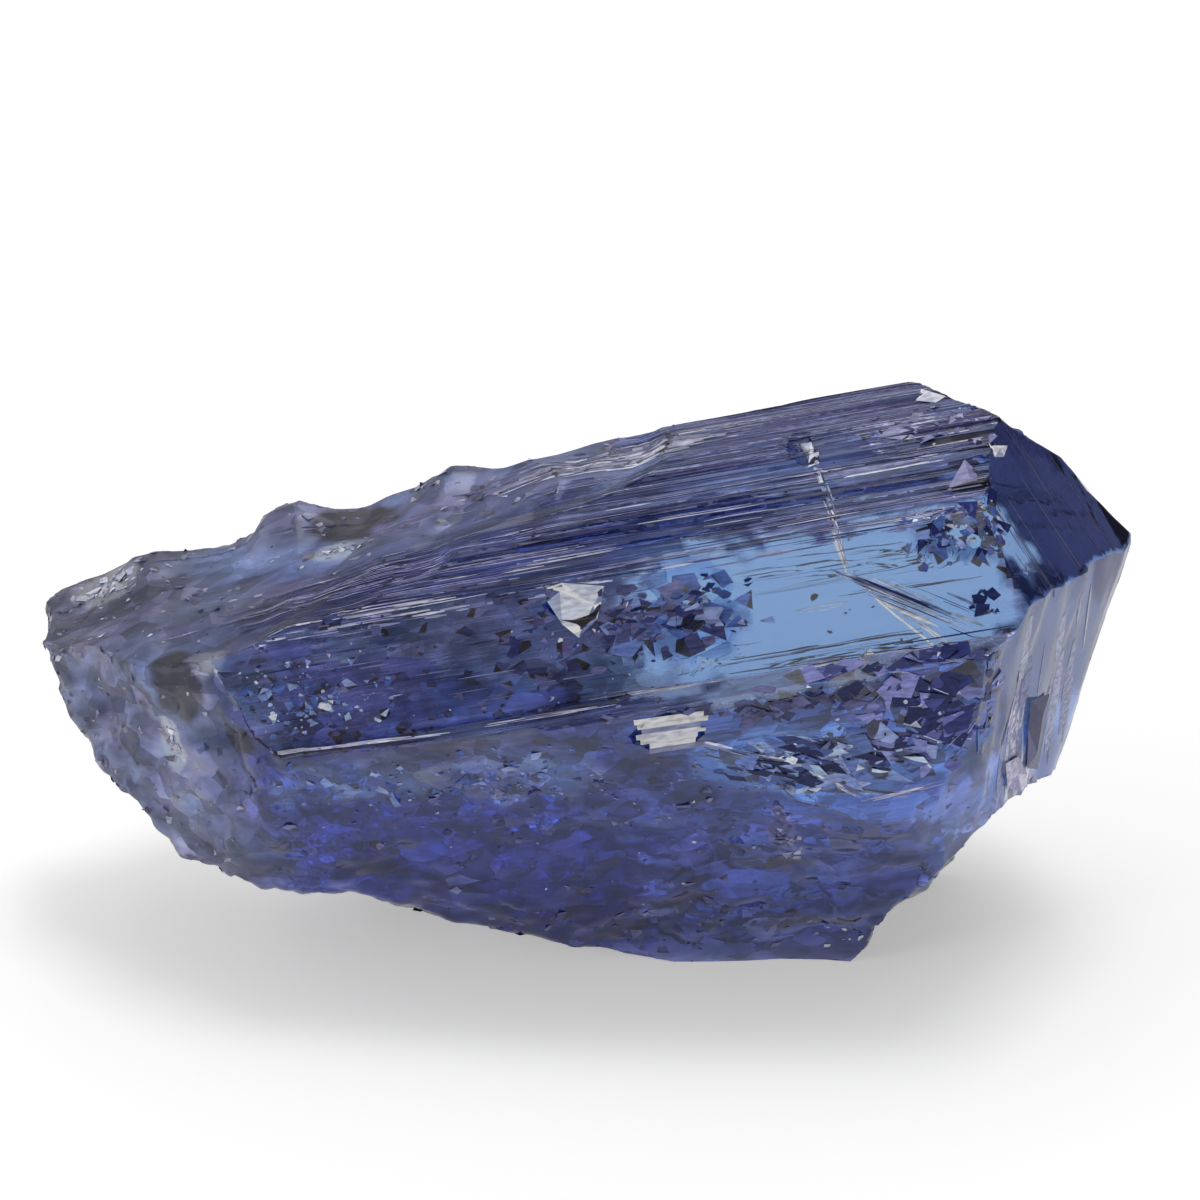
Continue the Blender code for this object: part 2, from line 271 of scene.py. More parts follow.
# Spots that differ from the face around them, each an uneven ball at its place.
spots = {
    "pane": {"at": (4.85, -3.75, 3.05), "size": (3.25, 1.6, 1.12), "box": True, "edge": 0.08,
             "tint": (0.92, 0.96, 1.0), "rough": 0.02, "shards": 0.0, "lines": 0.05, "mosaic": 0.0,
             "clear": 1.0},
    "paneBack": {"at": (5.0, 2.5, -0.1), "size": (4.2, 1.4, 1.9), "tint": (0.95, 0.97, 1.0), "rough": 0.02,
                 "lines": 0.05, "shards": 0.0, "mosaic": 0.0, "clear": 1.0},
    "paneCloud": {"at": (2.5, -3.5, 3.2), "size": (0.9, 1.0, 1.0), "tint": (0.45, 0.50, 0.72),
                  "shards": 0.6, "mosaic": 0.5, "clear": 0.2},
    "lens": {"at": (4.2, -4.65, 0.62), "size": (2.5, 0.6, 0.85), "edge": 0.08, "tint": (0.15, 0.23, 0.58),
             "rough": 0.03, "shards": 0.2, "mosaic": 0.7, "clear": 0.3},
    "lensBack": {"at": (3.9, 1.9, -1.5), "size": (2.4, 0.8, 0.8), "tint": (0.9, 0.93, 1.0), "rough": 0.04},
    "leftBlue": {"at": (-3.6, -4.3, 1.4), "size": (1.8, 0.6, 0.65), "tint": (0.26, 0.31, 0.55)},
    "middleBlue": {"at": (-0.9, -4.4, 1.1), "size": (1.5, 0.6, 0.8), "tint": (0.22, 0.26, 0.50)},
    "brownRoot": {"at": (-6.7, -3.0, 3.25), "size": (0.55, 0.6, 0.9), "tint": (0.07, 0.035, 0.02),
                  "rough": 0.5, "frost": 0.05},
    "brownTop": {"at": (-3.5, 0.3, 4.35), "size": (0.95, 0.7, 0.5), "tint": (0.07, 0.035, 0.018),
                 "rough": 0.5, "frost": 0.02},
    "creamTop": {"at": (-3.6, -0.65, 4.27), "size": (0.65, 0.28, 0.25), "tint": (0.8, 0.74, 0.66),
                 "frost": 0.7},
    "creamRoot": {"at": (-6.05, -3.24, 3.77), "size": (0.4, 0.35, 0.35), "tint": (0.8, 0.75, 0.7),
                  "frost": 0.7},
    "paleFlat": {"at": (-8.2, 0.5, 3.85), "size": (1.0, 0.6, 0.35), "tint": (0.8, 0.8, 0.82), "frost": 1.0},
    "paleDrop": {"at": (-7.06, -2.75, 2.07), "size": (0.22, 0.4, 0.55), "tint": (0.8, 0.78, 0.78),
                 "frost": 0.8},
    "darkFacets": {"at": (6.2, -4.7, 1.3), "size": (1.6, 0.5, 1.0), "tint": (0.10, 0.11, 0.34),
                   "shards": 0.3, "mosaic": 1.0},
    "crumbs": {"at": (7.3, -3.45, 3.9), "size": (1.0, 0.6, 0.55), "tint": (0.50, 0.58, 0.85),
               "shards": 1.0, "mosaic": 0.7},
    "crestShards": {"at": (7.0, -1.25, 4.87), "size": (1.1, 0.6, 0.3), "frost": 0.3, "shards": 1.0},
    "tipDark": {"at": (8.0, -2.67, -0.55), "size": (0.3, 0.6, 0.65), "tint": (0.05, 0.06, 0.22),
                "frost": 0.0},
    "tipPink": {"at": (7.54, -2.74, -1.54), "size": (0.45, 0.5, 0.35), "tint": (0.85, 0.72, 0.85),
                "frost": 0.9},
}

along, back, up = points[:, 0], points[:, 1], points[:, 2]
patchy = noiseAt(points, 0.55, 5)
zone = {name: weights[name] for name in looks if name in weights}
zone["root"] = smooth(along + 0.9 * patchy, -5.0, -6.6)
bandFront = -0.9 + 0.2 * along + 0.5 * patchy
zone["topBand"] = (smooth(back, bandFront - 0.25, bandFront + 0.25) * smooth(up, 2.6, 3.6)
                   * smooth(along, 4.6, 2.2))
ragged = 0.3 * noiseAt(points, 1.6, 6) + 0.15 * noiseAt(points, 4.0, 7)


def spotShare(spot):
    away = np.abs((points - np.array(spot["at"])) / np.array(spot["size"]))
    power = 5 if spot.get("box") else 2
    away = (away ** power).sum(axis=1) ** (1 / power)
    edge = spot.get("edge", 0.15)
    return smooth(away + ragged * 2 * min(spot["size"][2], 0.5), 0.97 + edge, 0.97 - edge)


# painted shade: the foot tint darkens the broken faces towards the bottom
zone["foot"] = smooth(up, -0.9, -2.9) * broken
order = [name for name in looks if name not in ("base", "root", "topBand")] + ["root", "topBand"]
painted = {}
for field in ("tint", "rough", "frost", "lines", "shards", "mosaic", "clear"):
    start = np.atleast_1d(looks["base"].get(field, 0.0))
    value = np.repeat(start[None, :], len(points), axis=0)
    for name in order:
        share = zone[name][:, None]
        value = value * (1 - share) + np.atleast_1d(looks[name].get(field, 0.0)) * share
    for spot in spots.values():
        if field in spot:
            share = spotShare(spot)[:, None]
            value = value * (1 - share) + np.atleast_1d(spot[field]) * share
    painted[field] = value
print("painted", len(spots), "spots")


# Cracks and veils inside the stone: closed slivers of air, so their faces look inwards. In millimetres.
veils = {
    "thickness": 0.006,
    "clearance": 0.13,
    "scattered": 16,
}
inner = {"points": [], "faces": []}
skin = BVHTree.FromPolygons(points.tolist(), [tuple(face.vertices) for face in mesh.polygons])


def isInside(point):
    near, normal, index, away = skin.find_nearest(point)
    return away > veils["clearance"] and (point - near).dot(normal) < 0


def addShell(top, bottom, rings, border):
    corners = top + bottom
    if not all(isInside(corner) for corner in corners):
        return False
    first = len(inner["points"])
    count = len(top)
    inner["points"] += [tuple(corner) for corner in corners]
    for ring in rings:
        inner["faces"].append([first + k for k in ring])
        inner["faces"].append([first + count + k for k in reversed(ring)])
    for a, b in zip(border, border[1:] + border[:1]):
        inner["faces"].append([first + b, first + a, first + a + count, first + b + count])
    return True


def flake(middle, normal, size, bend, seed):
    rng = random.Random(seed)
    corners = 11
    normal = Vector(normal).normalized()
    side = Matrix.Rotation(rng.uniform(0, math.tau), 3, normal) @ normal.orthogonal().normalized()
    rise = normal.cross(side)
    rim = []
    for k in range(corners):
        angle = math.tau * (k + rng.uniform(-0.3, 0.3)) / corners
        reach = 0.5 * rng.uniform(0.65, 1.0)
        rim.append((math.cos(angle) * reach * size[0], math.sin(angle) * reach * size[1]))
    flat = [(0, 0)] + [(x * 0.55, y * 0.55) for x, y in rim] + rim
    top, bottom = [], []
    for x, y in flat:
        height = bend * (x * x - 0.5 * y * y)
        place = Vector(middle) + side * x + rise * y + normal * height
        top.append(place + normal * veils["thickness"] / 2)
        bottom.append(place - normal * veils["thickness"] / 2)
    rings = []
    for k in range(corners):
        after = (k + 1) % corners
        rings.append([0, 1 + after, 1 + k])
        rings.append([1 + k, 1 + after, 1 + corners + after, 1 + corners + k])
    border = [1 + corners + k for k in range(corners - 1, -1, -1)]
    return addShell(top, bottom, rings, border)


def leaf(start, finish, width, roll, seed, bend):
    rng = random.Random(seed)
    run = (finish - start).normalized()
    flat = Vector((0, 0.9, -0.44))  # a leaf with no roll lies flat against this direction
    normal = (flat - run * flat.dot(run)).normalized()
    normal = Matrix.Rotation(math.radians(roll), 3, run) @ normal
    side = run.cross(normal)
    steps = max(6, int((finish - start).length / 0.12))
    left = [0.5 * rng.uniform(0.4, 1.0) for k in range(steps + 1)]
    right = [0.5 * rng.uniform(0.4, 1.0) for k in range(steps + 1)]
    top, bottom = [], []
    for k in range(steps + 1):
        share = k / steps
        middle = start.lerp(finish, share) + normal * bend * math.sin(math.pi * share)
        spread = width * (math.sin(math.pi * (0.08 + 0.84 * share)) ** 0.6)
        for amount in (-left[k], 0.0, right[k]):
            place = middle + side * amount * spread
            top.append(place + normal * veils["thickness"] / 2)
            bottom.append(place - normal * veils["thickness"] / 2)
    rings = []
    for k in range(steps):
        for j in (0, 1):
            a = 3 * k + j
            rings.append([a, a + 1, a + 4, a + 3])
    border = [3 * k for k in range(steps + 1)] + [3 * steps + 1]
    border += [3 * k + 2 for k in range(steps, -1, -1)] + [1]
    return addShell(top, bottom, rings, border)


# The large cracks, each a bundle of leaves: where it starts and ends, how far the ends spread, the
# width of a leaf, how many there are and how far they roll about their length.
cracks = {
    "bundle": {"start": (4.90, -1.60, 4.30), "finish": (5.22, -3.20, 3.33), "spread": (0.10, 0.05),
               "width": 0.14, "count": 3, "roll": (25, 80)},
    "fan": {"start": (5.28, -3.28, 3.20), "finish": (6.75, -3.85, 2.15), "spread": (0.04, 0.42),
            "width": 0.12, "count": 4, "roll": (20, 85)},
    "line": {"start": (4.12, -3.45, 2.90), "finish": (5.22, -3.48, 2.90), "spread": (0.01, 0.01),
             "width": 0.05, "count": 2, "roll": (50, 70)},
    "lensRim": {"start": (2.15, -4.20, 1.20), "finish": (3.75, -4.22, -0.02), "spread": (0.03, 0.05),
                "width": 0.12, "count": 5, "roll": (30, 80)},
    "lensRimLow": {"start": (3.65, -4.22, 0.0), "finish": (5.70, -4.25, -0.50), "spread": (0.04, 0.06),
                   "width": 0.12, "count": 5, "roll": (30, 80)},
    "lensDark": {"start": (3.0, -4.0, 1.0), "finish": (5.3, -4.1, 0.35), "spread": (0.25, 0.15),
                 "width": 0.30, "count": 9, "roll": (35, 80)},
    "veil": {"start": (3.36, -4.0, -0.20), "finish": (3.20, -3.2, -2.05), "spread": (0.05, 0.45),
             "width": 0.50, "count": 4, "roll": (25, 60)},
    "cornerFan": {"start": (5.3, -3.9, 2.1), "finish": (5.0, -3.6, 1.3), "spread": (0.1, 0.55),
                  "width": 0.30, "count": 9, "roll": (20, 75)},
}


def growCracks():
    made = 0
    for seed, crack in enumerate(cracks.values()):
        rng = random.Random(seed)
        a, b = Vector(crack["start"]), Vector(crack["finish"])
        for count in range(crack["count"]):
            wander = [Vector([rng.uniform(-1, 1) for axis in range(3)]) for end in range(2)]
            first = a + wander[0] * crack["spread"][0]
            last = b + wander[1] * crack["spread"][1]
            low, high = rng.uniform(0, 0.45), rng.uniform(0.55, 1)
            if crack["count"] < 7:
                low, high = low * 0.3, 1 - (1 - high) * 0.3
            roll = rng.uniform(*crack["roll"])
            wide = crack["width"] * rng.uniform(0.5, 1.2)
            made += leaf(first.lerp(last, low), first.lerp(last, high), wide, roll, seed * 100 + count,
                         bend=rng.uniform(-0.08, 0.08))
    return made


# Dark mineral grains closed in the stone: place, size and number of pieces in each cluster.
grains = {
    "paneDot": {"at": (4.56, -3.40, 3.07), "spread": (0.01, 0.01, 0.01), "size": 0.06, "count": 1},
    "leftDark": {"at": (-5.60, -3.30, 2.20), "spread": (0.16, 0.06, 0.16), "size": 0.16, "count": 7},
    "leftDot": {"at": (-3.90, -3.90, 2.15), "spread": (0.06, 0.03, 0.06), "size": 0.12, "count": 3},
    "squiggle": {"at": (-5.15, -3.45, 0.12), "spread": (0.42, 0.04, 0.06), "size": 0.09, "count": 12},
    "lensDark": {"at": (4.1, -4.15, 0.75), "spread": (0.9, 0.1, 0.2), "size": 0.09, "count": 16},
    "specks": {"at": (0.5, -3.6, 1.2), "spread": (5.5, 0.8, 2.4), "size": 0.035, "count": 90},
    "crestSpecks": {"at": (1.0, -1.2, 4.3), "spread": (5.5, 1.0, 0.35), "size": 0.028, "count": 70},
}


def grainObject():
    shape = bmesh.new()
    rng = random.Random(5)
    made = 0
    for cluster in grains.values():
        for count in range(cluster["count"]):
            at = Vector(cluster["at"]) + Vector([rng.uniform(-1, 1) * s for s in cluster["spread"]])
            if not isInside(at):
                continue
            scale = cluster["size"] * rng.uniform(0.5, 1.2)
            lump = bmesh.ops.create_icosphere(shape, subdivisions=1, radius=scale)["verts"]
            stretch = Matrix.Diagonal((rng.uniform(0.8, 1.6), 0.5, rng.uniform(0.5, 1.1), 1))
            turn = Matrix.Rotation(rng.uniform(-0.8, 0.8), 4, "Y")
            for vertex in lump:
                vertex.co *= rng.uniform(0.6, 1.15)
            bmesh.ops.transform(shape, matrix=Matrix.Translation(at) @ turn @ stretch, verts=lump)
            made += 1
    bmesh.ops.transform(shape, matrix=toWorld, verts=shape.verts)
    bmesh.ops.scale(shape, vec=(mm,) * 3, verts=shape.verts)
    mesh = bpy.data.meshes.new("crystalGrains")
    shape.to_mesh(mesh)
    shape.free()
    print("dark grains inside:", made)
    made = bpy.data.objects.new("crystalGrains", mesh)
    bpy.context.scene.collection.objects.link(made)
    return made


def scatterFlakes():
    rng = random.Random(11)
    made = 0
    for count in range(veils["scattered"]):
        middle = (rng.uniform(-7.5, 8.0), rng.uniform(-4.2, 1.5), rng.uniform(-4.0, 2.8))
        normal = (rng.uniform(-0.6, 0.6), rng.uniform(-1, 1), rng.uniform(-1, 1))
        long = rng.uniform(0.25, 1.1)
        if middle[0] > 1 and middle[2] > 0.2:
            continue
        made += flake(middle, normal, (long, long * rng.uniform(0.25, 0.8)), rng.uniform(-0.2, 0.2), count)
    return made


print("leaves inside:", growCracks())
print("flakes inside:", scatterFlakes())


def inWorld(places):
    turn = np.array(toWorld)
    return (places @ turn[:3, :3].T + turn[:3, 3]) * mm


def wholeStone():
    outer = [tuple(face.vertices) for face in mesh.polygons]
    shift = len(points)
    allPoints = np.vstack((points, np.array(inner["points"]).reshape(-1, 3)))
    allFaces = outer + [[shift + k for k in face] for face in inner["faces"]]
    made = bpy.data.meshes.new("crystalStone")
    made.from_pydata(inWorld(allPoints).tolist(), [], allFaces)
    extra = len(allPoints) - shift
    plain = {"tint": (1, 1, 1), "rough": 0.02, "clear": 1.0}
    for field, value in painted.items():
        value = np.vstack((value, np.repeat(np.atleast_1d(plain.get(field, 0.0))[None, :], extra, axis=0)))
        if field == "tint":
            layer = made.attributes.new(field, "FLOAT_COLOR", "POINT")
            layer.data.foreach_set("color", np.hstack((value, np.ones((len(value), 1)))).ravel())
        else:
            layer = made.attributes.new(field, "FLOAT", "POINT")
            layer.data.foreach_set("value", value.ravel())
    made.validate()
    return made


stoneMesh = wholeStone()
stone = bpy.data.objects.new("crystalStone", stoneMesh)
bpy.context.scene.collection.objects.link(stone)
stoneMesh.shade_smooth()
stoneMesh.set_sharp_from_angle(angle=math.radians(24))
print("stone:", sum(len(face.vertices) - 2 for face in stoneMesh.polygons), "triangles")


def nodeGroup(name, inputs, outputs):
    group = bpy.data.node_groups.new(name, "ShaderNodeTree")
    for label, kind, value in inputs:
        socket = group.interface.new_socket(label, in_out="INPUT", socket_type="NodeSocket" + kind)
        if value is not None:
            socket.default_value = value
    for label, kind in outputs:
        group.interface.new_socket(label, in_out="OUTPUT", socket_type="NodeSocket" + kind)
    start = group.nodes.new("NodeGroupInput")
    finish = group.nodes.new("NodeGroupOutput")
    return group, start, finish


def addNode(tree, kind, **settings):
    node = tree.nodes.new("ShaderNode" + kind)
    for name, value in settings.items():
        setattr(node, name, value)
    return node


def fill(tree, socket, value):  # with another node's output, or with a fixed value
    if isinstance(value, bpy.types.NodeSocket):
        tree.links.new(value, socket)
    else:
        socket.default_value = value


def mathNode(tree, operation, a, b, clamp=False):
    node = addNode(tree, "Math", operation=operation, use_clamp=clamp)
    fill(tree, node.inputs[0], a)
    fill(tree, node.inputs[1], b)
    return node.outputs[0]


def vectorNode(tree, operation, a, b):
    node = addNode(tree, "VectorMath", operation=operation)
    fill(tree, node.inputs[0], a)
    fill(tree, node.inputs["Scale" if operation == "SCALE" else 1], b)
    return node.outputs["Value" if operation == "DOT_PRODUCT" else "Vector"]


def ranged(tree, value, fromLow, fromHigh, toLow=0.0, toHigh=1.0):
    node = addNode(tree, "MapRange")
    for name, number in zip(("From Min", "From Max", "To Min", "To Max"), (fromLow, fromHigh, toLow, toHigh)):
        node.inputs[name].default_value = number
    tree.links.new(value, node.inputs["Value"])
    return node.outputs["Result"]


def crystalSpaceGroup():
    group, start, finish = nodeGroup("crystalSpace", [], [("Vector", "Vector")])
    place = addNode(group, "TexCoord")
    turned = addNode(group, "Mapping")
    turned.inputs["Scale"].default_value = (1 / mm,) * 3
    turned.inputs["Rotation"].default_value = (0, pitch, 0)
    turned.inputs["Location"].default_value = toCrystal.to_translation()
    group.links.new(place.outputs["Object"], turned.inputs["Vector"])
    group.links.new(turned.outputs["Vector"], finish.inputs["Vector"])
    return group


def growthLinesGroup():
    group, start, finish = nodeGroup(
        "growthLines",
        [("Vector", "Vector", None), ("Lines per mm", "Float", 8.0), ("Length", "Float", 5.0),
         ("Depth", "Float", 0.006)],
        [("Height", "Float"), ("Streaks", "Float")])
    density = addNode(group, "CombineXYZ")
    fill(group, density.inputs["X"], mathNode(group, "DIVIDE", 1.0, start.outputs["Length"]))
    for axis in "YZ":
        fill(group, density.inputs[axis], start.outputs["Lines per mm"])
    scaled = vectorNode(group, "MULTIPLY", start.outputs["Vector"], density.outputs["Vector"])
    fine = addNode(group, "TexNoise")
    for name, value in (("Vector", scaled), ("Scale", 1.0), ("Detail", 2.0), ("Roughness", 0.6)):
        fill(group, fine.inputs[name], value)
    height = mathNode(group, "MULTIPLY", fine.outputs["Fac"], start.outputs["Depth"])
    fill(group, finish.inputs["Height"], height)
    fill(group, finish.inputs["Streaks"], ranged(group, fine.outputs["Fac"], 0.52, 0.66))
    return group


def facetsGroup():
    group, start, finish = nodeGroup(
        "facets",
        [("Vector", "Vector", None), ("Size", "Float", 0.3), ("Stretch", "Float", 1.0),
         ("Slope", "Float", 0.3)],
        [("Height", "Float"), ("Value", "Float")])
    size = addNode(group, "CombineXYZ")
    long = mathNode(group, "MULTIPLY", start.outputs["Size"], start.outputs["Stretch"])
    fill(group, size.inputs["X"], long)
    for axis in "YZ":
        fill(group, size.inputs[axis], start.outputs["Size"])
    scaled = vectorNode(group, "DIVIDE", start.outputs["Vector"], size.outputs["Vector"])
    cells = addNode(group, "TexVoronoi")
    fill(group, cells.inputs["Vector"], scaled)
    fill(group, cells.inputs["Scale"], 1.0)
    offset = vectorNode(group, "SUBTRACT", scaled, cells.outputs["Position"])
    lean = vectorNode(group, "SUBTRACT", cells.outputs["Color"], (0.5, 0.5, 0.5))
    rise = mathNode(group, "MULTIPLY", vectorNode(group, "DOT_PRODUCT", offset, lean), start.outputs["Slope"])
    fill(group, finish.inputs["Height"], mathNode(group, "MULTIPLY", rise, start.outputs["Size"]))
    split = addNode(group, "SeparateColor")
    fill(group, split.inputs["Color"], cells.outputs["Color"])
    fill(group, finish.inputs["Value"], split.outputs["Red"])
    return group


space, growth, facets = crystalSpaceGroup(), growthLinesGroup(), facetsGroup()


def placed(tree, group, **values):
    node = tree.nodes.new("ShaderNodeGroup")
    node.node_tree = group
    for name, value in values.items():
        fill(tree, node.inputs[name.replace("_", " ")], value)
    return node


def attribute(tree, name):
    node = addNode(tree, "Attribute", attribute_name=name)
    return node.outputs["Color" if name in ("tint", "tone") else "Fac"]


def noiseNode(tree, vector, scale, detail=3.0, stretch=(1, 1, 1), rough=0.5):
    node = addNode(tree, "TexNoise")
    vector = vectorNode(tree, "MULTIPLY", vector, stretch)
    for name, value in (("Vector", vector), ("Scale", scale), ("Detail", detail), ("Roughness", rough)):
        fill(tree, node.inputs[name], value)
    return node.outputs["Fac"]


def mixed(tree, kind, factor, a, b):
    node = addNode(tree, "Mix", data_type=kind)
    for name, value in (("Factor", factor), ("A", a), ("B", b)):
        fill(tree, node.inputs[name], value)
    return node.outputs["Result"]


def mixedNumber(tree, factor, a, b):
    return mixed(tree, "FLOAT", factor, a, b)


def paint(tree, colour, scale):  # into Base Color, no channel over 1
    limited = vectorNode(tree, "MINIMUM", vectorNode(tree, "SCALE", colour, scale), (1, 1, 1))
    tree.links.new(limited, tree.nodes["Principled BSDF"].inputs["Base Color"])


def newMaterial(name):
    material = bpy.data.materials.new(name)
    material.use_nodes = True
    return material, material.node_tree, material.node_tree.nodes["Principled BSDF"]


# The glass, its colour per depth, the frost on its broken faces, and its finest lines and facets.
glass = {
    "shader": {"IOR": 1.69, "Transmission Weight": 0.88, "Metallic": 0.0,
               "Specular Tint": (0.74, 0.78, 1.0, 1), "Coat IOR": 3.0, "Coat Roughness": 0.45},
    "absorbed": {"Color": (0.233, 0.54, 0.837, 1), "Density": 300},
    "lines": {"Lines_per_mm": 11.0, "Length": 3.0, "Depth": 0.012},
    "facets": {"Size": 0.38, "Stretch": 1.5, "Slope": 0.45},
    "violet": (1.14, 0.95, 1.02, 1),
    "blue": (0.86, 1.00, 1.08, 1),
}


def clearStone():
    material, tree, shader = newMaterial("clearTanzanite")
    links = tree.links
    for name, value in glass["shader"].items():
        shader.inputs[name].default_value = value
    volume = addNode(tree, "VolumeAbsorption")
    for name, value in glass["absorbed"].items():
        volume.inputs[name].default_value = value
    links.new(volume.outputs["Volume"], tree.nodes["Material Output"].inputs["Volume"])

    def times(*values):
        result = values[0]
        for value in values[1:]:
            result = mathNode(tree, "MULTIPLY", result, value)
        return result

    def plus(a, b):
        return mathNode(tree, "ADD", a, b)

    vector = placed(tree, space).outputs["Vector"]
    fine = placed(tree, growth, Vector=vector, **glass["lines"])
    mosaic = placed(tree, facets, Vector=vector, **glass["facets"])
    drift = noiseNode(tree, vector, 1.0, 2.0, (0.6, 1, 1))
    mottle = noiseNode(tree, vector, 1.5, 3.0, (0.45, 1, 1), 0.6)
    gather = ranged(tree, drift, 0.42, 0.6, 0.15, 1.0)
    lineMask = attribute(tree, "lines")
    shardMask = times(attribute(tree, "shards"), gather)
    mosaicMask = attribute(tree, "mosaic")

    # relief
    lined = times(fine.outputs["Height"], lineMask)
    chipped = times(mosaic.outputs["Height"], plus(mosaicMask, shardMask))
    bump = addNode(tree, "Bump")
    bump.inputs["Distance"].default_value = mm
    bump.inputs["Strength"].default_value = 1.0
    links.new(plus(lined, chipped), bump.inputs["Height"])
    links.new(bump.outputs["Normal"], shader.inputs["Normal"])

    # colour: the painted tint, cloudy along the crystal, with darker and paler fragments
    clearMask = attribute(tree, "clear")
    cloud = ranged(tree, mottle, 0.36, 0.64, 0.35, 1.8)
    cloud = mixedNumber(tree, clearMask, cloud, 1.0)
    large = mixedNumber(tree, mosaicMask, 1.0, ranged(tree, mosaic.outputs["Value"], 0.15, 0.85, 0.15, 2.3))
    small = mixedNumber(tree, shardMask, 1.0, ranged(tree, mosaic.outputs["Value"], 0.1, 0.9, 0.35, 1.8))
    streak = mixedNumber(tree, lineMask, 1.0, ranged(tree, fine.outputs["Streaks"], 0.0, 1.0, 0.75, 2.4))
    turn = mixedNumber(tree, clearMask, ranged(tree, drift, 0.4, 0.6, 1.0, 0.0), 0.55)
    hue = mixed(tree, "RGBA", turn, glass["violet"], glass["blue"])
    coloured = vectorNode(tree, "MULTIPLY", attribute(tree, "tint"), hue)
    paint(tree, coloured, times(cloud, large, small, streak))

    # frost: strongest on some shards and on the crests of the lines
    uneven = mixedNumber(tree, shardMask, 1.0, ranged(tree, mosaic.outputs["Value"], 0.2, 0.8, 0.3, 1.6))
    frost = times(attribute(tree, "frost"), ranged(tree, mottle, 0.35, 0.65, 0.45, 1.3), uneven)
    crests = times(fine.outputs["Streaks"], lineMask, ranged(tree, drift, 0.45, 0.6, 0.25, 0.03))
    links.new(mathNode(tree, "ADD", frost, crests, clamp=True), shader.inputs["Coat Weight"])

    rough = times(attribute(tree, "rough"), ranged(tree, mottle, 0.3, 0.7, 1.4, 0.6))
    links.new(mathNode(tree, "ADD", rough, 0.005, clamp=True), shader.inputs["Roughness"])
    return material


stoneMesh.materials.append(clearStone())
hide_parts("tanzanite_crystal")
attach(stone, "root")


def darkMineral():
    material, tree, shader = newMaterial("darkMineral")
    shader.inputs["Roughness"].default_value = 0.45
    vector = placed(tree, space).outputs["Vector"]
    patch = ranged(tree, noiseNode(tree, vector, 9.0), 0.4, 0.65)
    mineral = mixed(tree, "RGBA", patch, (0.012, 0.012, 0.03, 1), (0.06, 0.045, 0.05, 1))
    tree.links.new(mineral, shader.inputs["Base Color"])
    return material


grainPiece = grainObject()
grainPiece.data.materials.append(darkMineral())
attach(grainPiece, "root")

# Slivers and small facets, pale or dark, that lie on the stone; the glints, edge highlights and highlight
# lines among them are painted highlights of reflected light. A group takes its tones from one of these
# palettes.
palettes = {
    "bright": [(0.38, 0.40, 0.72), (0.56, 0.58, 0.88), (0.84, 0.85, 1.0), (0.22, 0.23, 0.50)],
    "grey": [(0.30, 0.31, 0.50), (0.20, 0.21, 0.38), (0.42, 0.43, 0.62), (0.13, 0.14, 0.29)],
    "lines": [(0.44, 0.45, 0.72), (0.28, 0.29, 0.52), (0.19, 0.20, 0.41), (0.035, 0.038, 0.12),
              (0.055, 0.058, 0.17), (0.13, 0.135, 0.31)],
    "ice": [(0.60, 0.67, 0.95), (0.86, 0.89, 1.0), (0.38, 0.44, 0.76), (0.76, 0.80, 1.0)],
    "blue": [(0.16, 0.24, 0.60), (0.25, 0.35, 0.74), (0.09, 0.15, 0.46), (0.36, 0.45, 0.84)],
    "deepBlue": [(0.45, 0.60, 0.90), (0.60, 0.72, 0.95), (0.28, 0.42, 0.74), (0.80, 0.86, 1.0)],
    "navy": [(0.018, 0.026, 0.11), (0.030, 0.042, 0.16), (0.050, 0.065, 0.23)],
    "violet": [(0.12, 0.12, 0.30), (0.18, 0.18, 0.42), (0.075, 0.078, 0.23), (0.045, 0.050, 0.17)],
    "cloud": [(0.075, 0.082, 0.21), (0.12, 0.125, 0.30), (0.055, 0.061, 0.17), (0.16, 0.165, 0.36)],
    "mosaic": [(0.018, 0.026, 0.13), (0.034, 0.045, 0.21), (0.070, 0.085, 0.33), (0.15, 0.165, 0.48),
               (0.27, 0.29, 0.66), (0.10, 0.19, 0.54), (0.024, 0.034, 0.17)],
    "flute": [(0.36, 0.40, 0.68), (0.44, 0.48, 0.74), (0.29, 0.33, 0.60), (0.54, 0.57, 0.82)],
    "haze": [(0.11, 0.115, 0.29), (0.15, 0.155, 0.36), (0.085, 0.09, 0.25), (0.21, 0.215, 0.44)],
    "dusk": [(0.14, 0.14, 0.27), (0.09, 0.09, 0.20), (0.20, 0.20, 0.34)],
    "milk": [(0.26, 0.26, 0.40), (0.34, 0.34, 0.50), (0.19, 0.19, 0.32), (0.46, 0.46, 0.64)],
    "white": [(0.70, 0.72, 0.92), (0.54, 0.56, 0.78), (0.86, 0.87, 1.0)],
}
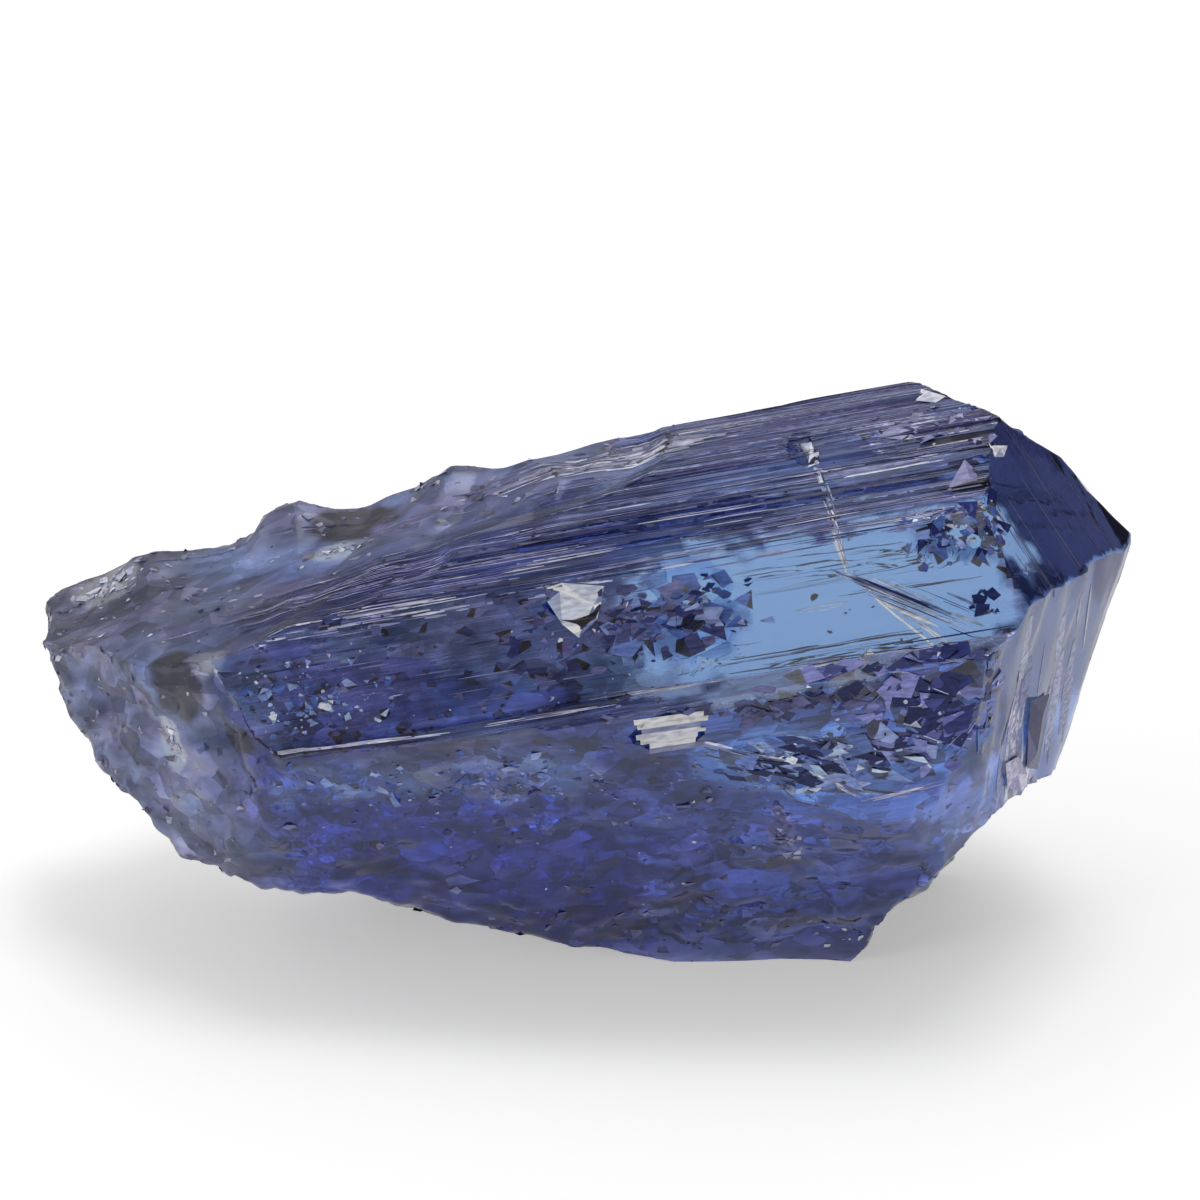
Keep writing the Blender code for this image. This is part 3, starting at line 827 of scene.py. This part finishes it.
# Where each group lies: "on" a face, in a ball "at" a place, or along a "line". A group with "long"
# and "wide" is slivers, one with "size" is small facets. In millimetres.
flecks = {
    # growth lines
    "crestLines": {"on": "crest", "count": 50, "bundle": 4, "long": (0.5, 3.4), "wide": (0.012, 0.034),
                   "palette": "lines"},
    "crestDark": {"on": "crest", "count": 46, "bundle": 4, "long": (0.6, 3.2), "wide": (0.014, 0.050),
                  "palette": "violet"},
    "leftTopLines": {"at": (-3.2, -2.2, 4.2), "spread": (2.9, 0.8, 0.2), "count": 210, "long": (0.3, 1.8),
                     "wide": (0.012, 0.036), "palette": "lines", "near": 0.3},
    # painted highlights: pale slivers along the growth lines where they reflect the light above
    "leftTopHighlights": {"at": (-3.2, -2.2, 4.2), "spread": (2.9, 0.8, 0.2), "count": 50, "long": (0.2, 1.2),
                    "wide": (0.012, 0.03), "palette": "bright", "near": 0.3, "rise": 0.010},
    "upperLines": {"on": "upper", "count": 44, "bundle": 4, "long": (0.5, 4.0), "wide": (0.012, 0.036),
                   "palette": "lines"},
    # painted highlights: pale slivers along the growth lines of the upper face
    "upperHighlights": {"on": "upper", "count": 44, "bundle": 3, "long": (0.3, 1.9), "wide": (0.016, 0.042),
                  "palette": "bright"},
    "ledgeLines": {"on": "ledge", "count": 26, "bundle": 4, "long": (0.5, 2.5), "wide": (0.012, 0.03),
                   "palette": "lines"},
    "backLines": {"on": "upperBack", "count": 50, "bundle": 4, "long": (0.5, 4.0), "wide": (0.012, 0.036),
                  "palette": "lines"},
    "backLow": {"on": "lowerBack", "count": 26, "bundle": 4, "long": (0.5, 2.5), "wide": (0.012, 0.03),
                "palette": "lines"},
    "tipLines": {"on": "tipUpper", "count": 22, "bundle": 2, "long": (0.8, 2.6), "wide": (0.010, 0.026),
                 "palette": "dusk", "run": (0.399, -0.257, -0.880)},
    # the pale flute slivers paint the light reflected by the fluted tip face; the flutes themselves are
    # relief
    "fluteLines": {"on": "tipLower", "count": 16, "long": (0.8, 2.6), "wide": (0.10, 0.30),
                   "palette": "flute", "run": flutesRun},
    "fluteWhite": {"on": "tipLower", "count": 7, "long": (0.5, 1.6), "wide": (0.02, 0.06),
                   "palette": "white", "run": flutesRun, "rise": 0.009},
    "fluteBlue": {"at": (7.52, -3.25, -0.35), "spread": (0.14, 0.30, 0.9), "count": 34, "long": (0.3, 1.0),
                  "wide": (0.06, 0.16), "palette": "bright", "run": flutesRun, "near": 0.4},
    # painted highlights: long bright lines along the prism edges, where the edges catch the light
    "ledgeEdgeHighlight": {"line": ((-5.16, -4.16, 2.20), (-2.1, -4.40, 2.20)), "count": 12, "long": (0.5, 1.4),
                  "wide": (0.035, 0.075), "spread": 0.03, "palette": "white"},
    "thinLedgeEdgeHighlight": {"line": ((-2.3, -4.36, 2.24), (0.9, -4.38, 2.26)), "count": 10, "long": (0.4, 1.2),
                      "wide": (0.015, 0.03), "spread": 0.05, "palette": "bright"},
    "paneFloorEdgeHighlight": {"line": ((0.6, -4.22, 2.24), (6.6, -4.22, 2.24)), "count": 26, "long": (0.3, 1.3),
                      "wide": (0.012, 0.03), "spread": 0.06, "palette": "bright"},
    "paneRoofEdgeHighlight": {"line": ((1.0, -3.26, 4.00), (6.9, -3.26, 4.00)), "count": 22, "long": (0.3, 1.1),
                     "wide": (0.012, 0.04), "spread": 0.07, "palette": "bright"},
    "leftRoofEdgeHighlight": {"line": ((-5.6, -3.28, 3.95), (0.4, -3.28, 3.98)), "count": 34, "long": (0.15, 0.8),
                     "wide": (0.015, 0.05), "spread": 0.10, "palette": "bright"},
    # chips broken out of the faces
    "notchEdge": {"line": ((0.10, -3.23, 4.01), (0.95, -3.26, 3.98)), "count": 5, "long": (0.3, 0.8),
                  "wide": (0.03, 0.06), "spread": 0.03, "palette": "ice"},
    "crackBits": {"at": (5.0, -1.5, 4.75), "spread": (0.12, 0.45, 0.1), "count": 12, "size": (0.06, 0.20),
                  "palette": "ice"},
    # painted glints: bright slivers along the crack across the crest
    "crackGlints": {"line": ((4.95, -1.6, 4.7), (5.2, -3.2, 4.02)), "count": 12, "long": (0.2, 0.7),
                  "wide": (0.015, 0.04), "spread": 0.08, "palette": "bright"},
    # small shards
    "crestEnd": {"at": (7.0, -1.2, 4.85), "spread": (0.95, 0.6, 0.1), "count": 34, "size": (0.12, 0.46),
                 "palette": "lines", "tilt": 0.35},
    "crestEndPale": {"at": (7.1, -1.2, 4.85), "spread": (0.9, 0.6, 0.1), "count": 18, "size": (0.06, 0.26),
                     "palette": "bright", "tilt": 0.3},
    "crumbs": {"at": (7.3, -3.2, 3.85), "spread": (0.75, 0.4, 0.5), "count": 34, "size": (0.14, 0.50),
               "palette": "mosaic", "tilt": 0.2},
    "crumbsPale": {"at": (7.3, -3.2, 3.85), "spread": (0.8, 0.4, 0.55), "count": 30, "size": (0.04, 0.20),
                   "palette": "ice", "tilt": 0.4},
    "crumbsBlue": {"at": (7.2, -3.2, 3.8), "spread": (0.85, 0.4, 0.6), "count": 40, "size": (0.10, 0.36),
                   "palette": "blue", "tilt": 0.4},
    "facetBand": {"at": (6.35, -4.6, 1.20), "spread": (1.05, 0.2, 1.1), "count": 110, "size": (0.22, 0.80),
                  "palette": "mosaic", "tilt": 0.12, "stretch": 1.2},
    "facetBandTop": {"at": (5.6, -4.5, 1.95), "spread": (1.6, 0.2, 0.3), "count": 26, "size": (0.15, 0.60),
                     "palette": "mosaic", "tilt": 0.15, "stretch": 1.5},
    "facetBandPale": {"at": (6.3, -4.6, 1.30), "spread": (1.2, 0.2, 0.9), "count": 16, "size": (0.04, 0.16),
                      "palette": "ice", "tilt": 0.3, "rise": 0.02},
    "facetEdges": {"at": (6.3, -4.6, 1.30), "spread": (1.2, 0.2, 1.0), "count": 34, "long": (0.15, 0.6),
                   "wide": (0.010, 0.022), "palette": "bright", "sway": 1.2, "rise": 0.02},
    "underLedge": {"at": (3.4, -4.7, 1.82), "spread": (1.9, 0.1, 0.2), "count": 70, "size": (0.10, 0.36),
                   "palette": "cloud", "tilt": 0.3, "stretch": 2.2},
    "lensStreaks": {"at": (4.0, -4.65, 0.62), "spread": (1.4, 0.05, 0.36), "count": 70, "size": (0.06, 0.34),
                    "palette": "navy", "tilt": 0.2, "stretch": 3.6, "lean": -0.42, "sway": 0.2},
    "lensFacets": {"at": (4.4, -4.65, 0.55), "spread": (1.4, 0.05, 0.5), "count": 50, "size": (0.20, 0.60),
                   "palette": "blue", "tilt": 0.15, "stretch": 1.7, "lean": -0.42, "sway": 0.3,
                   "rise": 0.003},
    "lensBlue": {"at": (4.2, -4.65, 0.5), "spread": (1.5, 0.05, 0.6), "count": 30, "size": (0.08, 0.34),
                 "palette": "deepBlue", "tilt": 0.3, "stretch": 2.0, "lean": -0.4, "sway": 0.3},
    "lensPale": {"at": (4.2, -4.65, 0.5), "spread": (1.5, 0.05, 0.5), "count": 18, "size": (0.04, 0.14),
                 "palette": "ice", "tilt": 0.3, "stretch": 2.0, "lean": -0.45, "sway": 0.3},
    "lensRim": {"line": ((2.15, -4.7, 1.40), (3.69, -4.66, 0.66)), "count": 9, "long": (0.3, 0.9),
                "wide": (0.02, 0.06), "spread": 0.05, "palette": "bright"},
    "lensRimLow": {"line": ((3.69, -4.6, 0.66), (4.92, -4.5, -0.37)), "count": 8, "long": (0.3, 0.8),
                   "wide": (0.02, 0.05), "spread": 0.05, "palette": "bright"},
    "lensRimEnd": {"line": ((4.92, -4.5, -0.37), (6.33, -4.5, -0.25)), "count": 8, "long": (0.3, 0.8),
                   "wide": (0.02, 0.05), "spread": 0.05, "palette": "bright"},
    "leftSpots": {"at": (-4.3, -3.85, 3.0), "spread": (1.3, 0.3, 0.5), "count": 90, "size": (0.04, 0.24),
                  "palette": "blue", "tilt": 0.2, "stretch": 1.3},
    "leftSpotsPale": {"at": (-4.0, -3.95, 2.75), "spread": (0.9, 0.3, 0.4), "count": 34, "size": (0.04, 0.20),
                      "palette": "deepBlue", "tilt": 0.2, "stretch": 1.3},
    # painted glints: pale facets that stand in for sparkles of reflected light
    "leftGlints": {"at": (-4.6, -3.6, 3.4), "spread": (1.2, 0.3, 0.5), "count": 30, "size": (0.03, 0.13),
                   "palette": "bright", "tilt": 0.3},
    "leftViolet": {"on": "window", "count": 260, "size": (0.05, 0.28), "palette": "cloud", "tilt": 0.15,
                   "stretch": 1.8, "until": 1.7, "sway": 0.2},
    "leftLines": {"on": "window", "count": 60, "bundle": 2, "long": (0.2, 1.2), "wide": (0.010, 0.024),
                  "palette": "lines", "until": 1.9},
    "middleShards": {"at": (0.9, -3.7, 3.2), "spread": (1.4, 0.3, 0.6), "count": 46, "size": (0.06, 0.34),
                     "palette": "violet", "tilt": 0.2, "stretch": 1.5},
    "middlePale": {"at": (0.9, -3.6, 3.4), "spread": (1.6, 0.3, 0.6), "count": 18, "size": (0.03, 0.13),
                   "palette": "ice", "tilt": 0.3},
    "lowerShards": {"at": (0.6, -4.1, 0.4), "spread": (5.2, 0.6, 1.6), "count": 190, "size": (0.05, 0.28),
                    "palette": "haze", "tilt": 0.25, "stretch": 1.3},
    "lowerBlue": {"at": (-2.2, -4.3, 1.15), "spread": (2.4, 0.4, 0.6), "count": 110, "size": (0.05, 0.28),
                  "palette": "blue", "tilt": 0.3, "stretch": 1.4},
    # painted glints: pale facets that stand in for sparkles of reflected light
    "lowerGlints": {"at": (0.6, -4.1, 0.0), "spread": (5.2, 0.6, 2.4), "count": 150, "size": (0.02, 0.09),
                    "palette": "bright", "tilt": 0.3, "stretch": 1.5},
    "footShards": {"at": (0.8, -3.1, -2.8), "spread": (4.4, 0.6, 1.2), "count": 80, "size": (0.06, 0.30),
                   "palette": "haze", "tilt": 0.25, "stretch": 1.3},
    # painted glints: pale facets that stand in for sparkles of reflected light
    "footGlints": {"at": (3.4, -2.9, -3.7), "spread": (1.2, 0.4, 0.45), "count": 16, "size": (0.04, 0.12),
                   "palette": "bright", "tilt": 0.3, "stretch": 1.5},
    "veilShards": {"at": (3.33, -3.85, -1.27), "spread": (0.30, 0.1, 0.70), "count": 22, "size": (0.10, 0.34),
                   "palette": "grey", "tilt": 0.2, "lean": 1.5},
    "rootCrumbs": {"on": "root", "count": 420, "size": (0.05, 0.24), "palette": "milk", "tilt": 0.5},
    "rootPale": {"on": "root", "count": 60, "size": (0.03, 0.12), "palette": "white", "tilt": 0.4},
    "rootDark": {"on": "root", "count": 90, "size": (0.04, 0.18), "palette": "grey", "tilt": 0.4},
    "topCrumbs": {"on": "topBand", "count": 200, "size": (0.05, 0.26), "palette": "milk", "tilt": 0.4,
                  "stretch": 1.5},
    "topPale": {"on": "topBand", "count": 60, "size": (0.04, 0.18), "palette": "white", "tilt": 0.3,
                "stretch": 2.4, "sway": 0.15},
    "topMilk": {"at": (1.4, -0.1, 4.9), "spread": (2.2, 0.30, 0.1), "count": 110, "long": (0.2, 1.2),
                "wide": (0.03, 0.14), "palette": "milk", "near": 0.3},
    "topMilkPale": {"at": (1.6, -0.2, 4.9), "spread": (1.8, 0.26, 0.1), "count": 44, "long": (0.2, 0.9),
                    "wide": (0.02, 0.08), "palette": "white", "near": 0.3, "rise": 0.010},
    "paleFlat": {"at": (-8.2, 0.55, 3.85), "spread": (0.75, 0.30, 0.2), "count": 70, "size": (0.10, 0.36),
                 "palette": "white", "tilt": 0.2},
    "creamTop": {"at": (-3.6, -0.62, 4.27), "spread": (0.42, 0.10, 0.1), "count": 22, "size": (0.08, 0.26),
                 "palette": "white", "tilt": 0.3},
    "paleDrop": {"at": (-7.06, -2.75, 2.07), "spread": (0.08, 0.1, 0.36), "count": 12, "size": (0.08, 0.20),
                 "palette": "white", "tilt": 0.2},
    # needles and specks that show in the clear window
    "fanBlue": {"line": ((5.27, -3.57, 3.39), (7.05, -4.12, 2.42)), "count": 40, "long": (0.3, 1.1),
                "wide": (0.03, 0.10), "spread": 0.30, "palette": "deepBlue", "fan": True},
    "fanDark": {"line": ((5.27, -3.57, 3.39), (7.15, -4.15, 2.36)), "count": 24, "long": (0.3, 1.3),
                "wide": (0.008, 0.020), "spread": 0.30, "palette": "navy", "fan": True, "rise": 0.010},
    "fanPale": {"line": ((5.27, -3.57, 3.39), (7.05, -4.12, 2.42)), "count": 22, "long": (0.3, 1.0),
                "wide": (0.008, 0.026), "spread": 0.30, "palette": "ice", "fan": True, "rise": 0.009},
    "bundlePale": {"line": ((5.02, -1.9, 4.55), (5.27, -3.5, 3.5)), "count": 22, "long": (0.2, 0.8),
                   "wide": (0.02, 0.07), "spread": 0.10, "palette": "deepBlue"},
    "bundleDark": {"line": ((5.02, -1.9, 4.55), (5.27, -3.5, 3.5)), "count": 9, "long": (0.2, 0.9),
                   "wide": (0.010, 0.025), "spread": 0.10, "palette": "navy", "rise": 0.010},
    "paneDark": {"at": (7.38, -3.98, 2.78), "spread": (0.22, 0.1, 0.24), "count": 11, "size": (0.10, 0.30),
                 "palette": "navy", "stretch": 1.3, "rise": 0.012},
    "squiggles": {"at": (2.4, -3.7, 3.4), "spread": (1.0, 0.2, 0.45), "count": 24, "size": (0.04, 0.18),
                  "palette": "navy", "stretch": 2.4, "rise": 0.012},
    "cloudShards": {"at": (2.4, -3.7, 3.3), "spread": (1.2, 0.2, 0.6), "count": 40, "size": (0.14, 0.50),
                    "palette": "blue", "stretch": 1.5, "tilt": 0.12},
    "cloudViolet": {"at": (1.8, -3.7, 3.2), "spread": (1.0, 0.2, 0.6), "count": 30, "size": (0.12, 0.46),
                    "palette": "haze", "stretch": 1.5, "tilt": 0.12},
}
fleckRise = 0.005  # height above the stone
offSkin = 0.08  # a facet with a corner farther off than this is left out


def onSkin(place):
    near, normal, index, away = skin.find_nearest(place)
    return near, normal, away


shards = {"points": [], "faces": [], "tones": []}


def addFace(corners, tone):
    first = len(shards["points"])
    shards["points"] += [tuple(corner) for corner in corners]
    shards["tones"] += [(*tone, 1)] * len(corners)
    shards["faces"].append(list(range(first, first + len(corners))))


def growFlecks():
    zoneLists = {}

    def sliver(at, run, long, wide, reach, tone, rise):
        steps = max(2, int(long / 0.2))
        rows = []
        for k in range(steps + 1):
            half = 0.5 * wide * math.sin(math.pi * (0.07 + 0.86 * k / steps)) ** 0.6
            near, normal, away = onSkin(at + run * long * (k / steps - 0.5))
            if away > reach:
                break
            side = normal.cross(run).normalized()
            rows.append((near + normal * rise + side * half, near + normal * rise - side * half))
        for (a, b), (c, d) in zip(rows, rows[1:]):
            addFace((a, b, d, c), tone)

    def shard(at, run, size, stretch, tilt, tone, rise, rng):
        near, normal, away = onSkin(at)
        if away > 0.5:
            return
        side = normal.cross(run).normalized()
        along = side.cross(normal)
        slope = (rng.uniform(-tilt, tilt), rng.uniform(-tilt, tilt))
        count = rng.choice((3, 3, 4, 4, 5))
        start = rng.uniform(0, math.tau)
        corners = []
        for k in range(count):
            angle = start + math.tau * (k + rng.uniform(-0.3, 0.3)) / count
            x = math.cos(angle) * size * 0.5 * stretch
            y = math.sin(angle) * size * 0.5
            lift = rise + slope[0] * x + slope[1] * y
            corners.append(near + along * x + side * y + normal * lift)
        if max(onSkin(corner)[2] for corner in corners) < offSkin:
            addFace(corners, tone)

    for seed, group in enumerate(flecks.values()):
        rng = random.Random(500 + seed)
        rise = group.get("rise", fleckRise)
        zoneName = group.get("on")
        if zoneName and zoneName not in zoneLists:
            share = zone[zoneName] * offFloor
            zoneLists[zoneName] = np.nonzero(share > 0.75)[0]
        for count in range(group["count"]):
            if zoneName:
                index = rng.choice(zoneLists[zoneName])
                place = Vector(points[index])
                if place.x > group.get("until", 99):
                    continue
            elif "line" in group:
                a, b = (Vector(end) for end in group["line"])
                wander = Vector([rng.uniform(-1, 1) for axis in range(3)]) * group["spread"]
                share = rng.uniform(0.05, 0.95)
                place = a.lerp(b, share) + wander * (0.1 + share if group.get("fan") else 1)
            else:
                away = [max(-1.1, min(1.1, rng.gauss(0, 0.6))) for axis in range(3)]
                place = Vector(group["at"]) + Vector([a * s for a, s in zip(away, group["spread"])])
            for strand in range(group.get("bundle", 1)):
                run = Vector(group.get("run", (1, 0, 0)))
                if "line" in group:
                    run = (b - a).normalized()
                if "size" in group or "sway" in group:
                    sway = group.get("sway", 0.6)
                    side, lean = rng.uniform(-sway, sway), rng.uniform(-sway, sway)
                    run = Vector((1, side, group.get("lean", 0) + lean)).normalized()
                tone = rng.choice(palettes[group["palette"]])
                shade = rng.uniform(0.62, 1.0)
                tone = [min(0.98, channel * shade) for channel in tone]
                at = place
                if strand:
                    at = place + run * rng.uniform(-0.9, 0.9) + Vector((0, rng.uniform(-0.14, 0.14),
                                                                        rng.uniform(-0.14, 0.14)))
                if "long" in group:
                    turn = Vector((0, rng.uniform(-0.01, 0.01), rng.uniform(-0.01, 0.01)))
                    sliver(at, (run + turn).normalized(), rng.uniform(*group["long"]),
                           rng.uniform(*group["wide"]), group.get("near", 0.15), tone, rise)
                else:
                    small, large = group["size"]
                    size = small + (large - small) * rng.random() ** 2
                    shard(at, run, size, group.get("stretch", 1.0), group.get("tilt", 0.2), tone, rise, rng)


# Pale plates where a chip has broken out: an outline on the stone, inner corners with their height above it,
# and the tone of each facet.
# The white tones of the notch and the striped chip paint the light reflected by their facets.
plates = {
    # a real pit, and its white facet tones are painted reflections
    "notch": {
        "outline": [(0.06, -3.24, 4.02), (0.35, -3.22, 4.06), (1.06, -3.30, 3.90), (0.98, -3.42, 3.66),
                    (0.84, -3.56, 3.42), (0.48, -3.68, 3.20), (0.24, -3.56, 3.44), (0.08, -3.38, 3.78)],
        "inner": [((0.36, -3.42, 3.78), 0.05), ((0.72, -3.44, 3.74), 0.10)],
        "tones": [(1.0, 1.0, 1.0), (0.72, 0.76, 0.90), (0.30, 0.34, 0.54), (0.97, 0.98, 1.0),
                  (0.20, 0.23, 0.42), (0.90, 0.93, 1.0), (0.45, 0.50, 0.68), (0.14, 0.16, 0.34)],
    },
    # a real chip, and its white stripe tones are painted reflections
    "glintingChip": {
        "outline": [(1.16, -4.80, 2.02), (2.52, -4.80, 1.97), (2.30, -4.72, 1.33), (1.22, -4.70, 1.30)],
        "stripes": 13,
        "tones": [(0.97, 0.97, 1.0), (0.60, 0.62, 0.78), (1.0, 1.0, 1.0), (0.80, 0.82, 0.94),
                  (0.36, 0.38, 0.58), (0.95, 0.96, 1.0), (0.88, 0.90, 1.0), (0.50, 0.52, 0.70)],
    },
    "crackChip": {
        "outline": [(4.74, -0.76, 4.82), (4.96, -0.95, 4.90), (5.05, -1.30, 4.82), (5.03, -1.56, 4.74),
                    (4.82, -1.60, 4.70), (4.78, -1.20, 4.78)],
        "inner": [((4.90, -1.20, 4.85), 0.05)],
        "tones": [(0.62, 0.64, 0.85), (0.90, 0.92, 1.0), (0.50, 0.52, 0.74), (0.75, 0.77, 0.93)],
    },
    "tipShade": {
        "outline": [(7.90, -3.10, 0.34), (8.26, -2.52, 0.10), (8.20, -2.24, -0.86), (7.94, -2.16, -1.60),
                    (7.68, -2.72, -1.20), (7.80, -2.98, -0.31)],
        "inner": [((8.06, -2.68, -0.20), 0.09), ((7.92, -2.52, -1.05), 0.10)],
        "lift": 0.06,
        "tones": [(0.030, 0.034, 0.14), (0.050, 0.055, 0.20), (0.024, 0.028, 0.12), (0.042, 0.046, 0.17),
                  (0.075, 0.080, 0.25)],
    },
    "tipFoot": {
        "outline": [(7.31, -3.38, -0.70), (7.58, -3.05, -0.78), (7.70, -2.62, -1.40), (7.52, -2.62, -1.70),
                    (7.27, -3.14, -1.30)],
        "inner": [((7.48, -2.98, -1.12), 0.10)],
        "lift": 0.05,
        "tones": [(0.62, 0.58, 0.80), (0.44, 0.42, 0.66), (0.72, 0.68, 0.88), (0.36, 0.35, 0.60)],
    },
    "violetFacet": {
        "outline": [(7.10, -2.66, 4.31), (7.50, -2.06, 4.55), (7.90, -2.62, 4.22)],
        "inner": [((7.52, -2.50, 4.36), 0.06)],
        "tones": [(0.34, 0.33, 0.58), (0.26, 0.26, 0.50), (0.45, 0.44, 0.70)],
    },
    "whiteChip": {
        "outline": [(7.96, -1.80, 4.66), (8.30, -1.56, 4.46), (8.24, -1.86, 4.42), (8.06, -2.02, 4.50)],
        "inner": [((8.14, -1.80, 4.54), 0.05)],
        "tones": [(0.92, 0.92, 1.0), (0.70, 0.71, 0.88), (0.50, 0.51, 0.72)],
    },
    "paleEnd": {
        "outline": [(6.88, -0.20, 5.02), (7.02, 0.20, 5.04), (7.40, 0.22, 5.02), (7.42, -0.22, 5.02),
                    (7.22, -0.36, 4.99)],
        "inner": [((7.15, -0.02, 5.04), 0.03)],
        "tones": [(0.80, 0.80, 0.90), (0.66, 0.67, 0.80), (0.92, 0.92, 0.98)],
    },
    "crestPlate": {
        "outline": [(6.10, -1.20, 4.90), (6.50, -0.92, 4.94), (6.86, -1.10, 4.90), (6.50, -1.34, 4.84)],
        "inner": [((6.50, -1.12, 4.92), 0.02)],
        "tones": [(0.34, 0.35, 0.58), (0.24, 0.25, 0.46), (0.42, 0.43, 0.66)],
    },
}


def raised(corner, height):
    near, normal, away = onSkin(Vector(corner))
    return near + normal * height


def stripedPlate(ring, normal, count):  # every second edge between two stripes stands up
    rng = random.Random(3)
    ins = [rng.uniform(0, 0.16) for k in range(2 * count + 2)]
    made = []
    for k in range(count):
        rows = []
        for edge in (k, k + 1):
            push = normal * (0.05 if edge % 2 else 0.0)
            left, right = ring[0].lerp(ring[3], edge / count), ring[1].lerp(ring[2], edge / count)
            rows.append((left.lerp(right, ins[k]) + push, left.lerp(right, 1 - ins[-1 - k]) + push))
        made.append((rows[0][0], rows[0][1], rows[1][1], rows[1][0]))
    return made


def facetedPlate(ring, tops):
    made = []
    for a, b in zip(ring, ring[1:] + ring[:1]):
        top = min(tops, key=lambda corner: (corner - (a + b) / 2).length)
        made.append((a, top, b))
    for before, after in list(zip(made, made[1:] + made[:1])):
        if before[1] is not after[1]:
            made.append((after[0], after[1], before[1]))
    return made


def addPlates():
    for plate in plates.values():
        ring = [raised(corner, plate.get("lift", 0.012)) for corner in plate["outline"]]
        if "stripes" in plate:
            normal = onSkin(Vector(plate["outline"][-1]))[1]
            made = stripedPlate(ring, normal, plate["stripes"])
        else:
            made = facetedPlate(ring, [raised(corner, height) for corner, height in plate["inner"]])
        for k, corners in enumerate(made):
            addFace(corners, plate["tones"][k % len(plate["tones"])])


def fleckObject():
    growFlecks()
    addPlates()
    mesh = bpy.data.meshes.new("crystalFlecks")
    mesh.from_pydata(inWorld(np.array(shards["points"])).tolist(), [], shards["faces"])
    layer = mesh.attributes.new("tone", "FLOAT_COLOR", "POINT")
    layer.data.foreach_set("color", np.array(shards["tones"]).ravel())
    print("flecks:", len(shards["faces"]))
    made = bpy.data.objects.new("crystalFlecks", mesh)
    bpy.context.scene.collection.objects.link(made)
    return made


def fleckMaterial():
    material, tree, shader = newMaterial("paleFlecks")
    vector = placed(tree, space).outputs["Vector"]
    grain = ranged(tree, noiseNode(tree, vector, 14.0, 2.0, (0.3, 1, 1)), 0.35, 0.65, 0.7, 1.2)
    paint(tree, attribute(tree, "tone"), grain)
    shader.inputs["Roughness"].default_value = 0.25
    shader.inputs["Specular IOR Level"].default_value = 0.2
    return material


fleckPiece = fleckObject()
fleckPiece.data.materials.append(fleckMaterial())
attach(fleckPiece, "root")
print("stone materials done")

# Floor, light and camera.
studio = {
    "floorSize": 3.0,
    "floor": {"Base Color": (0.80, 0.80, 0.80, 1), "Roughness": 0.9, "Specular IOR Level": 0.1,
              "Emission Color": (1, 1, 1, 1), "Emission Strength": 0.42},
    "lights": {  # place, width and length in metres, power in watts
        "keyBox": ((0.05, 0.06, 0.42), (0.12, 0.12), 0.42),
        "topBox": ((0.06, 0.10, 0.42), (0.46, 0.34), 0.42),
        "frontBox": ((-0.34, -0.26, 0.24), (0.14, 0.12), 0.22),
        "leftBox": ((-0.50, 0.05, 0.30), (0.40, 0.40), 0.42),
        "backBox": ((0.12, 0.45, 0.22), (0.50, 0.30), 0.18),
    },
    "skyTowards": (-0.55, 0.45, 0.75),  # the sky is brightest on this side
    "skyGlow": (0.08, 0.37),
}


def floorPlane():
    shape = bmesh.new()
    bmesh.ops.create_grid(shape, x_segments=1, y_segments=1, size=studio["floorSize"] / 2)
    made = bpy.data.meshes.new("floor")
    shape.to_mesh(made)
    shape.free()
    plane = bpy.data.objects.new("floor", made)
    material, tree, shader = newMaterial("paleFloor")
    for name, value in studio["floor"].items():
        shader.inputs[name].default_value = value
    made.materials.append(material)
    bpy.context.scene.collection.objects.link(plane)


def softbox(name, place, size, power):
    light = bpy.data.lights.new(name, "AREA")
    light.shape = "RECTANGLE"
    light.size, light.size_y = size
    light.energy = power
    lamp = bpy.data.objects.new(name, light)
    lamp.location = place
    lamp.rotation_euler = (-Vector(place)).to_track_quat("-Z", "Y").to_euler()
    bpy.context.scene.collection.objects.link(lamp)


floorPlane()
for name, (place, size, power) in studio["lights"].items():
    softbox(name, place, size, power)

world = bpy.data.worlds.new("studio")
bpy.context.scene.world = world
world.use_nodes = True
sky = world.node_tree
background = sky.nodes["Background"]
background.inputs["Color"].default_value = (1, 1, 1, 1)
direction = addNode(sky, "TexCoord").outputs["Generated"]
towards = vectorNode(sky, "DOT_PRODUCT", direction, studio["skyTowards"])
bright = ranged(sky, towards, -0.1, 0.8, *studio["skyGlow"])
seen = addNode(sky, "LightPath").outputs["Is Camera Ray"]  # the camera sees plain white
sky.links.new(mathNode(sky, "MAXIMUM", bright, seen), background.inputs["Strength"])
print("floor, lights and sky done")

view = {"elevation": 25.0, "lens": 100.0, "distance": 0.060938, "aim": (0.00041656, 0.00033023, 0.0059935)}
cameraData = bpy.data.cameras.new("camera")
cameraData.lens = view["lens"]
cameraData.sensor_width = 36
cameraData.clip_start = 0.002
cameraData.clip_end = 20
camera = bpy.data.objects.new("camera", cameraData)
elevation = math.radians(view["elevation"])
backwards = Vector((0, -math.cos(elevation), math.sin(elevation)))
camera.location = Vector(view["aim"]) + backwards * view["distance"]
camera.rotation_euler = (-backwards).to_track_quat("-Z", "Y").to_euler()
bpy.context.scene.collection.objects.link(camera)
scene = bpy.context.scene
scene.camera = camera
scene.view_settings.view_transform = "Standard"
scene.cycles.max_bounces = 5
scene.cycles.diffuse_bounces = 2
scene.cycles.glossy_bounces = 5
scene.cycles.transmission_bounces = 7
scene.cycles.caustics_refractive = False
scene.cycles.caustics_reflective = False
